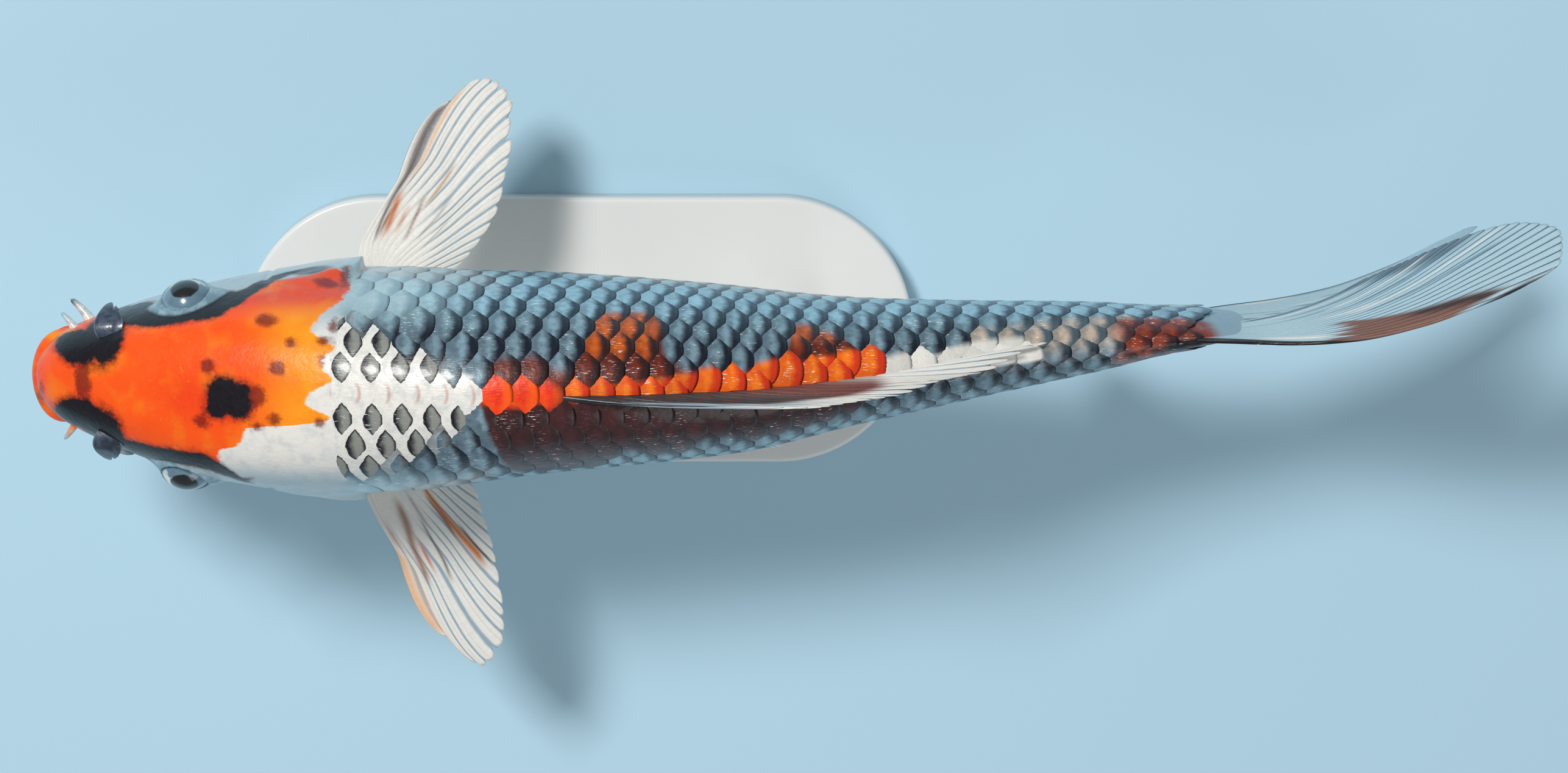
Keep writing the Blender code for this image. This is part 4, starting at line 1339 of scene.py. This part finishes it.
WEB = rgb(148, 170, 184)
BROWN = rgb(120, 62, 30)
TAN = rgb(186, 138, 92)
PEACH = rgb(232, 178, 134)
GREY = rgb(104, 92, 90)
AMBER = rgb(196, 104, 4)


def fin_root(fin, u, side=1):
    """The station and the point of a fin's root. u runs from 0 at its front to 1 at its hind end."""
    begin, length, degrees, drop, sunk = FIN_ROOTS[fin]
    station = begin + length * u
    return station, body_point(station, side * np.radians(degrees + drop * u), -sunk)


# In the functions below u runs across a fin from its leading ray, and v outwards along the rays.


def pectoral_spot(side):
    """Spread out flat from low behind the gill cover, with rays that bow forward, then sweep back."""
    droop = PECTORAL_DROOP[side]
    across, turns, lengths = np.array(PECTORAL_TIPS[side]).T

    def spot(u, v):
        _, root = fin_root("pectoral", u, side)
        turn = smooth_curve(across, turns, u) + from_table(PECTORAL_BEND, v) * (1 - u) ** 1.5
        reach = PECTORAL_TRIM * smooth_curve(across, lengths, u) * BODY_LENGTH * v
        back, out = np.sin(np.radians(turn)) * reach, np.cos(np.radians(turn)) * reach
        cup = PECTORAL_CUP * np.sin(math.pi * u) * v
        return root + vector(back, side * out * math.cos(droop), cup - out * math.sin(droop))

    return spot


def dorsal_spot(u, v):
    """Folded back along the ridge, lying to the fish's left in front and to its right behind."""
    station, root = fin_root("dorsal", u)
    back = unit(body_point(station + SWAY_STEP, 0) - body_point(station - SWAY_STEP, 0))
    _, _, across, up = spine_frame(station)
    front, hind = DORSAL_LEAN
    lean = (front - (front - hind) * smooth_step(u, 0.7, 1.0))[..., None]
    rise = up * np.cos(lean) - across * np.sin(lean)
    lift = np.radians(15.5 - 3 * u)
    reach = from_table(DORSAL_RAYS, u) * BODY_LENGTH * v
    height = reach * np.sin(lift) - 0.16 * reach * v + 0.0030 * v
    return root + back * (reach * np.cos(lift))[..., None] + rise * height[..., None]


def pelvic_spot(name, side):
    """A small paddle under the belly, swept back."""

    def spot(u, v):
        _, root = fin_root("pelvic", u, side)
        reach = from_table(PELVIC_RAYS, u) * BODY_LENGTH * v
        fan = 0.25 - 0.62 * u
        out = side * (PELVIC_SPREAD[name] + 0.30 * fan)
        return root + unit(vector(1.0, out, -PELVIC_DROP - 0.75 * fan)) * reach[..., None]

    return spot


def anal_spot(u, v):
    """Behind the vent, swept back and a little open."""
    station, root = fin_root("anal", u)
    _, along, _, up = spine_frame(station)
    turn = np.radians(58 - 20 * u)
    reach = from_table(ANAL_RAYS, u) * BODY_LENGTH * v
    return root + along * (reach * np.cos(turn))[..., None] - up * (reach * np.sin(turn))[..., None]


def tail_spot(half):
    """One lobe of the tail fin, laid out by station and height, so it follows the spine's sway."""

    def spot(u, v):
        reach = from_table(TAIL_RAYS, u) * TAIL_SCALE[half] * v
        turn = TAIL_FAN * (1 - u) ** 0.8
        station = TAIL_START + reach * np.cos(turn)
        height = TAIL_ROOT[half] * (1 - u) + reach * np.sin(turn) - 0.028 * v * v * (1 - u) + 0.0024 * u
        trail = TAIL_CUP[half] * np.sin(math.pi / 2 * u) * (np.maximum(station - 1, 0) / 0.27) ** 1.5
        return in_frame(station, trail * BODY_LENGTH, half * height * BODY_LENGTH)

    return spot


def ray_groove(u, v, rays, begin, branch):
    """1 in the narrow grooves between rays and 0 on them, and how far off its ray's middle each
    point is. Each ray forks on the way out, and then each half of it, with fainter grooves."""
    phase = u * rays
    off = np.abs(2 * (phase % 1) - 1)
    groove = smooth_step(off, 0.50, 0.98) * smooth_step(v, begin, begin + 0.35)
    for grooves, out in ((2, branch), (4, branch + 0.22)):
        fork = np.abs(2 * ((phase * grooves) % 1) - 1)
        groove = np.maximum(groove, 0.55 * smooth_step(fork, 0.55, 1.0) * smooth_step(v, out, out + 0.15))
    return groove, off


def streaks(tint, u, v, marks):
    """Lays soft streaks on a tint: a line, its half width, colour and strength each."""
    for line, half, colour, strength in marks:
        begin, end = line[0][0], line[-1][0]
        ends = smooth_step(v, begin - 0.05, begin + 0.04) * smooth_step(v, end + 0.05, end - 0.04)
        tint = lay(tint, colour, strength * ends * hump(u - from_table(line, v), half))
    return tint


def make_fin(name, spot, rays, node, thick=(0.00100, 0.00036), steps=60, per_ray=10, begin=0.12,
             branch=0.45, notch=0.0017, relief=0.55, sharp=0.5, tint=WHITE, web=WEB, marks=(), paint=None):
    """A fin as a closed thin solid with a ridge for each ray on both faces, and a scalloped edge.

    spot gives the point at (u, v), and thick the fin's thickness at the root and at the edge. Grooves
    begin at begin and rays fork at branch, as shares of the way out, and relief is the share of the
    thickness that a groove takes. notch is how far the edge is cut back between two rays' tips, the
    more abruptly the larger sharp is. tint and web colour rays and web, under paint and the marks.
    """
    across, outward = np.linspace(0, 1, rays * per_ray + 1), np.linspace(0, 1, steps + 1)
    u, v = np.meshgrid(across, outward, indexing="ij")
    groove, off = ray_groove(u, v, rays, begin, branch)
    length = np.linalg.norm(spot(u, np.ones_like(u)) - spot(u, np.zeros_like(u)), axis=-1)
    lobe = 1 - (1 - (0.98 * off) ** 2) ** sharp
    uneven = 1 + 0.5 * np.sin(np.floor(u * rays * 0.999) * 2.4)  # one value for each ray
    out = v * (1 - notch * lobe * uneven / length * smooth_step(v, 0.55, 1.0))
    half = (thick[0] + (thick[1] - thick[0]) * v**0.8) / 2
    half = half * (1 - relief * groove) * (1 - 0.25 * off**2 * smooth_step(v, 0.1, 0.3))
    half = half * (1 - 0.5 * smooth_step(v, 0.93, 1.0))
    points, faces = thin_plate(spot(u, out), half)
    pair = tuple(np.broadcast_to(colour, (*u.shape, 3)) for colour in (tint, web))
    if paint:
        pair = paint(u, v, pair)
    colour, between = (both_faces(streaks(layer, u, v, marks)) for layer in pair)
    piece(
        name, points, faces, "fin", (node,),
        values={"groove": both_faces(groove)},
        vectors={"spread": both_faces(vector(u * rays, v * length * 1000, 0.0))},
        colours={"tint": colour, "web": between},
    )


# ---------------------------------------------------------------------------------------------
# The fins' colours, and the fins

# How far out the dorsal fin's dark root reaches, as a share of the way: where across the fin, share.
DORSAL_DARK = ((0, 0.40), (0.12, 0.46), (0.22, 0.72), (0.52, 0.72), (0.64, 0.48), (0.78, 0.10))
# The black edge along the tail fin's leading ray: how far out, its width as a share of the fin's.
TAIL_LEAD = ((0, 0.110), (0.30, 0.085), (0.60, 0.048), (1, 0.040))
# The upper lobe's rust patch: how far out, and where across it ends.
TAIL_PATCH = ((0.36, 0.36), (0.42, 0.37), (0.48, 0.30), (0.58, 0.23), (0.70, 0.18), (0.84, 0.12))
# Streaks on the fins: a line of (how far out, where across), its half width, colour and strength.
TAIL_MARKS = (
    # The first white streak, just inside the black leading edge, is a painted highlight.
    (((0.20, 0.16), (0.36, 0.15)), 0.035, WHITE, 0.9),
    (((0.42, 0.52), (0.58, 0.50)), 0.018, WHITE, 0.6),
    (((0.28, 0.93), (0.60, 0.95), (0.90, 0.96)), 0.030, rgb(26, 54, 84), 0.8),
    (((0.20, 0.66), (0.55, 0.70)), 0.012, rgb(70, 104, 130), 0.5),
    (((0.45, 0.60), (0.97, 0.58)), 0.010, rgb(58, 92, 112), 0.75),
    (((0.50, 0.42), (0.90, 0.40)), 0.008, rgb(58, 92, 112), 0.65),
    (((0.40, 0.78), (0.97, 0.80)), 0.012, rgb(44, 76, 98), 0.75),
    (((0.55, 0.69), (0.95, 0.69)), 0.010, WHITE, 0.85),
    (((0.50, 0.47), (0.97, 0.48)), 0.008, WHITE, 0.80),
    (((0.35, 0.86), (0.92, 0.88)), 0.010, WHITE, 0.70),
)
PECTORAL_MARKS = {
    "right": (
        (((0.22, 0.17), (0.40, 0.085), (0.56, 0.060), (0.97, 0.050)), 0.020, GREY, 0.95),
        (((0.50, 0.105), (0.70, 0.092), (0.93, 0.085)), 0.012, PEACH, 0.75),
        (((0.25, 0.24), (0.33, 0.19), (0.41, 0.13)), 0.034, AMBER, 0.95),
        (((0.24, 0.20), (0.34, 0.15)), 0.015, BROWN, 0.8),
        (((0.28, 0.32), (0.36, 0.28)), 0.022, AMBER, 0.6),
        (((0.30, 0.42), (0.36, 0.38), (0.44, 0.32)), 0.016, BROWN, 0.75),
        (((0.46, 0.36), (0.62, 0.33)), 0.012, TAN, 0.85),
        (((0.36, 0.50), (0.56, 0.45)), 0.012, GREY, 0.5),
        (((0.38, 0.62), (0.55, 0.58)), 0.010, GREY, 0.4),
    ),
    "left": (
        (((0.28, 0.30), (0.36, 0.27), (0.47, 0.20), (0.60, 0.14)), 0.030, rgb(150, 104, 84), 0.85),
        (((0.46, 0.26), (0.56, 0.24)), 0.009, rgb(190, 60, 20), 0.8),
        (((0.42, 0.37), (0.49, 0.34), (0.64, 0.29)), 0.012, GREY, 0.85),
        (((0.30, 0.44), (0.44, 0.40)), 0.020, GREY, 0.5),
        (((0.36, 0.64), (0.45, 0.60), (0.60, 0.57), (0.88, 0.575)), 0.028, AMBER, 0.95),
        (((0.70, 0.615), (0.85, 0.605), (0.97, 0.60)), 0.010, BLACK, 0.85),
        (((0.42, 0.57), (0.62, 0.54)), 0.012, BROWN, 0.8),
        (((0.55, 0.02), (0.75, 0.03), (0.97, 0.04)), 0.040, PEACH, 0.85),
        (((0.36, 0.10), (0.50, 0.06)), 0.030, rgb(176, 134, 116), 0.6),
    ),
}


def dorsal_paint(u, v, pair):
    """Dark at the front and the root, rust along the base behind, with white tips."""
    dark_to = from_table(DORSAL_DARK, u)
    root = smooth_step(v, dark_to + 0.10, dark_to - 0.08) * smooth_step(u, 0.86, 0.56)
    web_root = np.maximum(root, 0.8 * smooth_step(u, 0.74, 0.58) * smooth_step(v, 1.0, 0.8))
    tone = lay(BLACK, rgb(104, 28, 12), smooth_step(u, 0.28, 0.50))
    grey = smooth_step(u, 0.34, 0.10) * smooth_step(v, 1.0, 0.75)
    rays = lay(pair[0], rgb(134, 158, 172), 0.85 * grey)
    web = lay(pair[1], rgb(34, 50, 66), 0.9 * grey)
    return lay(rays, tone, 0.94 * root), lay(web, tone, web_root)


def tail_paint(half):
    """A black leading edge and a dark margin, and on the upper lobe a rust patch at the root."""

    def paint(u, v, pair):
        lead = from_table(TAIL_LEAD, v)
        edge = smooth_step(u, lead, lead - 0.020) * smooth_step(v, 0.98, 0.85)
        tips = smooth_step(v, 0.86, 0.95) * smooth_step(u, 0.12, 0.07)
        margin = 0.75 * smooth_step(v, 0.78, 0.92) * smooth_step(u, 0.50, 0.62)
        pair = lay_pair(pair, margin, rgb(34, 62, 86), rgb(20, 44, 66))
        if half > 0:
            upper = from_table(TAIL_PATCH, v)
            ragged = v + (0.02 * np.sin(u * 95) + 0.012 * np.sin(u * 211))
            patch = smooth_step(upper - u, -0.02, 0.02) * smooth_step(ragged, 0.38, 0.43)
            patch = patch * smooth_step(ragged, 0.86, 0.78)
            pair = lay_pair(pair, 0.92 * patch, rgb(126, 68, 34), rgb(92, 50, 28))
            shade = hump(upper - 0.025 - u, 0.030) * smooth_step(v, 0.52, 0.64) * smooth_step(v, 0.88, 0.80)
            pair = lay_pair(pair, 0.9 * shade, rgb(48, 24, 20), rgb(30, 16, 16))
        else:
            shade = hump(u - 0.10, 0.05) * smooth_step(v, 0.2, 0.35) * smooth_step(v, 0.85, 0.70)
            pair = lay_pair(pair, 0.8 * shade, rgb(60, 84, 104), rgb(40, 60, 82))
        return lay_pair(pair, np.maximum(edge, tips), BLACK, BLACK)

    return paint


def make_fins():
    for name, side in SIDES.items():
        make_fin(
            "fin_pectoral_" + name, pectoral_spot(side), PECTORAL_COUNT[name], "pectoral_fin_" + name,
            begin=0.22, marks=PECTORAL_MARKS[name],
        )
    for name, side in SIDES.items():
        make_fin("fin_pelvic_" + name, pelvic_spot(name, side), 9, "pelvic_fin_" + name, steps=36)
    make_fin(
        "fin_dorsal", dorsal_spot, 20, "dorsal_fin", thick=(0.0013, 0.0005), begin=0.0, branch=0.6,
        notch=0.0070, relief=0.75, sharp=0.9, paint=dorsal_paint,
    )
    make_fin("fin_anal", anal_spot, 7, "anal_fin", steps=30)
    for name, half in (("upper", 1), ("lower", -1)):
        make_fin(
            "fin_tail_" + name, tail_spot(half), 28, "tail_fin_" + name, steps=76, per_ray=7,
            begin=0.02, branch=0.50, notch=0.0006, relief=0.4, tint=TAIL_SKIN, web=TAIL_WEB,
            marks=TAIL_MARKS, paint=tail_paint(half),
        )


# ---------------------------------------------------------------------------------------------
# Eyes, barbels and nostril flaps

EYE_POLE = 0.004  # the first ring's angle off the eye's axis
EYE_RINGS, EYE_AROUND = 60, 72
BARBEL_POINTS, BARBEL_AROUND = 40, 20
FLAP_POINTS = 41  # along it and across it
FLAP_ROOT, FLAP_ROOT_SUNK = (0.066, math.radians(41)), 0.0010
FLAP_TIP, FLAP_TIP_LIFT = (0.070, math.radians(80)), 0.0024
FLAP_WIDTH, FLAP_HALF_THICK, FLAP_ARCH = 0.0064, 0.00022, 0.0042
FLAP_NOTCH = 0.62  # where across it the notch and the fold lie

# Each barbel's root and tip as metres behind the snout, out and up, then its bow and root radius.
BARBELS = {
    "left": {
        "front": ((0.0088, 0.0098, -0.0018), (0.0056, 0.0142, -0.0034), 0.0002, 0.0010),
        "rear": ((0.0105, 0.0100, -0.0085), (0.0200, 0.0182, -0.0112), 0.0026, 0.0013),
    },
    "right": {
        "front": ((0.0088, 0.0098, -0.0018), (0.0056, 0.0132, -0.0030), 0.0002, 0.0010),
        "rear": ((0.0118, 0.0098, -0.0080), (0.0068, 0.0152, -0.0094), 0.0006, 0.0013),
    },
}


def make_eye(name, side):
    """A ball turned to look out, with a bulge for the cornea."""
    centre, axis = eye_axes(side)
    over = np.cross([0, 0, 1.0], axis)
    over = over / np.linalg.norm(over)
    top = np.cross(axis, over)
    off = np.linspace(EYE_POLE, math.pi - EYE_POLE, EYE_RINGS)
    turn = np.linspace(0, 2 * math.pi, EYE_AROUND, endpoint=False)
    off, turn = np.meshgrid(off, turn, indexing="ij")
    radius = EYE["radius"] * (0.985 + 0.045 * hump(off, 0.62))
    round_axis = np.cos(turn)[..., None] * over + np.sin(turn)[..., None] * top
    points = (np.cos(off)[..., None] * axis + np.sin(off)[..., None] * round_axis) * radius[..., None]
    points = points * np.array([1, EYE["flat"], 1]) + centre
    quads = grid_quads(*off.shape, wrap=True)
    fans = np.concatenate(end_fans(*off.shape))
    # Its brightest side faces down on the right and forward on the left.
    bright = 0.5 + 0.5 * np.cos(turn - math.radians(270 if side > 0 else 225))
    piece(
        "eyeball_" + name, with_ends(points), [quads[:, ::-1], fans[:, [0, 2, 1]]],
        "eye", ("eye_" + name,),
        values={
            "off_axis": np.append(off.ravel(), [0, math.pi]),
            "bright": np.append(bright.ravel(), [0.5, 0.5]),
        },
    )


def tube(points, radii, around):
    """Points and faces of a round tube with flat ends."""
    along = unit(np.gradient(points, axis=0))
    first = unit(np.cross(along, [0, 0, 1.0]))
    second = np.cross(along, first)
    turn = np.linspace(0, 2 * math.pi, around, endpoint=False)
    rings = points[:, None] + radii[:, None, None] * (
        np.cos(turn)[:, None] * first[:, None] + np.sin(turn)[:, None] * second[:, None]
    )
    n = len(points)
    quads = grid_quads(n, around, wrap=True)
    caps = np.stack([np.arange(around), np.arange(around)[::-1] + (n - 1) * around])
    return rings, [quads[:, ::-1], caps]


def make_barbel(name, side, place):
    """A soft whisker beside the mouth, thinner towards its rounded tip."""
    (*ends, bow, radius) = BARBELS[name][place]
    start, end = (np.array([SNOUT_X + x, side * y + SNOUT_Y, AXIS_HEIGHT + z]) for x, y, z in ends)
    t = np.linspace(0, 1, BARBEL_POINTS)
    column = t[:, None]
    points = start + (end - start) * column + np.array([0, side * bow, 0]) * 4 * column * (1 - column)
    radii = radius * (1 - 0.62 * t) * np.sqrt(np.maximum(1 - smooth_step(t, 0.90, 1.0) * 0.96, 0.02))
    radii = radii * (1 + 0.02 * np.sin(t * 41) * np.sin(t * 17))
    root = rgb(238, 150, 90) if name == "left" and place == "front" else WHITE
    tip = rgb(60, 96, 110) if place == "rear" else rgb(150, 190, 200)
    tint = lay(root, tip, smooth_step(t, 0.45, 0.95))
    rings, faces = tube(points, radii, BARBEL_AROUND)
    piece(
        f"whisker_{place}_{name}", rings, faces, "barbel", (f"barbel_{place}_{name}",),
        colours={"tint": np.repeat(tint, BARBEL_AROUND, axis=0)},
    )


def make_flap(name, side):
    """A dark leaf of skin in two lobes that stands up over the nostril and lies outwards."""
    line = np.linspace(0, 1, FLAP_POINTS)
    u, v = np.meshgrid(line, line, indexing="ij")
    root = body_point(FLAP_ROOT[0], side * FLAP_ROOT[1], -FLAP_ROOT_SUNK)
    tip = body_point(FLAP_TIP[0], side * FLAP_TIP[1], FLAP_TIP_LIFT)
    lobes = 1 - 0.10 * hump(u - FLAP_NOTCH, 0.09) - 0.34 * np.clip(u - 0.55, 0, 1)
    lobes = lobes - 0.9 * np.abs(u - 0.5) ** 3
    along = v * lobes
    width = FLAP_WIDTH * np.sin(math.pi * np.minimum(0.14 + 0.66 * v, 1)) ** 0.8
    arch = FLAP_ARCH * np.sin(math.pi * 0.75 * along)
    fold = 0.00016 * hump(u - FLAP_NOTCH, 0.12) * smooth_step(v, 0.05, 0.3)
    middle = root + (tip - root) * along[..., None] + vector(-0.0006 * v, 0, arch)
    middle = middle + vector(width * (u - 0.5), side * 0.0006 * (u - 0.5), 0.0010 * (u - 0.5))
    middle = middle - vector(0, 0, fold)
    aside = np.abs(2 * u - 1)
    points, faces = thin_plate(middle, FLAP_HALF_THICK * (1 - 0.5 * aside**4))
    edge = np.maximum(smooth_step(v, 0.88, 0.99), smooth_step(aside, 0.86, 0.98))
    piece(
        "nose_flap_" + name, points, faces, "flap", ("nostril_flap_" + name,),
        values={"edge": both_faces(edge)},
    )


# ---------------------------------------------------------------------------------------------
# Stand

BASE_LENGTH, BASE_WIDTH, BASE_THICKNESS = 0.150, 0.060, 0.008
BASE_EASE = 0.0010  # radius of the top edge's easing, and twice the bottom edge's bevel
BASE_INNER = (0.002, 0.010)  # how far in the rings of its flat faces lie
END_POINTS = 73  # round each of its ends


def dress_stand():
    """A slab with round ends and eased edges, and the solids' rods in brushed steel."""
    for node in ("stand_rod_front", "stand_rod_rear"):
        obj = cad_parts[node]
        obj.data.materials.clear()
        obj.data.materials.append(MATERIALS["steel"])
    turn = np.linspace(-math.pi / 2, math.pi / 2, END_POINTS)
    turn = np.concatenate([turn, turn + math.pi])
    middle = np.where(np.arange(len(turn)) < END_POINTS, 1, -1) * (BASE_LENGTH - BASE_WIDTH) / 2
    ease = np.linspace(0, math.pi / 2, 7)
    eased = BASE_EASE * (1 - np.cos(ease)), BASE_THICKNESS - BASE_EASE * (1 - np.sin(ease))
    inset = np.concatenate([[BASE_INNER[1], BASE_EASE / 2, 0], eased[0], BASE_INNER])
    height = np.concatenate([[0, 0, BASE_EASE / 2], eased[1], [BASE_THICKNESS] * 2])
    radius = BASE_WIDTH / 2 - inset[:, None]
    points = vector(middle + radius * np.cos(turn), radius * np.sin(turn), height[:, None])
    rows, columns = points.shape[:2]
    caps = np.stack([np.arange(columns)[::-1], np.arange(columns) + (rows - 1) * columns])
    quads = grid_quads(rows, columns, wrap=True)
    piece("stand_slab", points, [quads, caps], "base", ("stand_base",))


# ---------------------------------------------------------------------------------------------
# Stage

CAMERA_TILT = math.radians(9)  # towards the fish's right
LENS, SENSOR = 120.0, 36.0
VIEW_WIDTH = 0.3337
VIEW_MIDDLE = (0.0461, -0.0029, AXIS_HEIGHT)
FLOOR_HALF = 3.0
SKY, SKY_STRENGTH = (0.92, 0.96, 1.0, 1), 0.30
# Each lamp's place, what it points at, its power in watts, its side in metres, and its colour.
LAMPS = {
    "key": ((-0.45, 0.55, 1.15), (0.02, 0, 0.06), 12.5, 0.28, (1.0, 0.985, 0.96)),
    "fill": ((0.6, -0.9, 0.9), (0.03, 0, 0.07), 4, 0.9, (0.93, 0.97, 1.0)),
}


def floor_material():
    """Matt pale blue, a little uneven."""
    paint = Paint("stage_floor", Roughness=0.8)
    return paint.show(paint.mix(paint.noise(3, 2.0), rgb(176, 212, 230), rgb(184, 217, 233)))


def make_floor():
    mesh = bpy.data.meshes.new("floor")
    corners = [(x * FLOOR_HALF, y * FLOOR_HALF, 0) for x, y in ((-1, -1), (1, -1), (1, 1), (-1, 1))]
    mesh.from_pydata(corners, [], [(0, 1, 2, 3)])
    mesh.materials.append(floor_material())
    floor = put_in_scene("floor", mesh)


def make_lights():
    world = bpy.data.worlds.new("studio")
    world.use_nodes = True
    background = world.node_tree.nodes["Background"]
    background.inputs[0].default_value = SKY
    background.inputs[1].default_value = SKY_STRENGTH
    bpy.context.scene.world = world
    for name, (place, target, power, size, colour) in LAMPS.items():
        light = bpy.data.lights.new(name, "AREA")
        light.energy = power
        light.size = size
        light.color = colour
        lamp = put_in_scene(name, light)
        lamp.location = place
        lamp.rotation_euler = (Vector(target) - Vector(place)).to_track_quat("-Z", "Y").to_euler()


def make_camera():
    """The photo's view: from above, and a little from the fish's right."""
    distance = VIEW_WIDTH * LENS / SENSOR
    camera = bpy.data.cameras.new("camera")
    camera.lens = LENS
    camera.sensor_width = SENSOR
    camera.clip_end = 20
    seat = put_in_scene("camera", camera)
    tilt = Vector((0, math.sin(CAMERA_TILT), math.cos(CAMERA_TILT)))
    seat.location = Vector(VIEW_MIDDLE) + tilt * distance
    seat.rotation_euler = (-CAMERA_TILT, 0, 0)
    bpy.context.scene.camera = seat
    bpy.context.scene.view_settings.view_transform = "Standard"


make_skin()
make_scales()
make_fins()
for side_name, side_sign in SIDES.items():
    make_eye(side_name, side_sign)
    make_flap(side_name, side_sign)
    for barbel_place in ("front", "rear"):
        make_barbel(side_name, side_sign, barbel_place)
dress_stand()
make_floor()
make_lights()
make_camera()
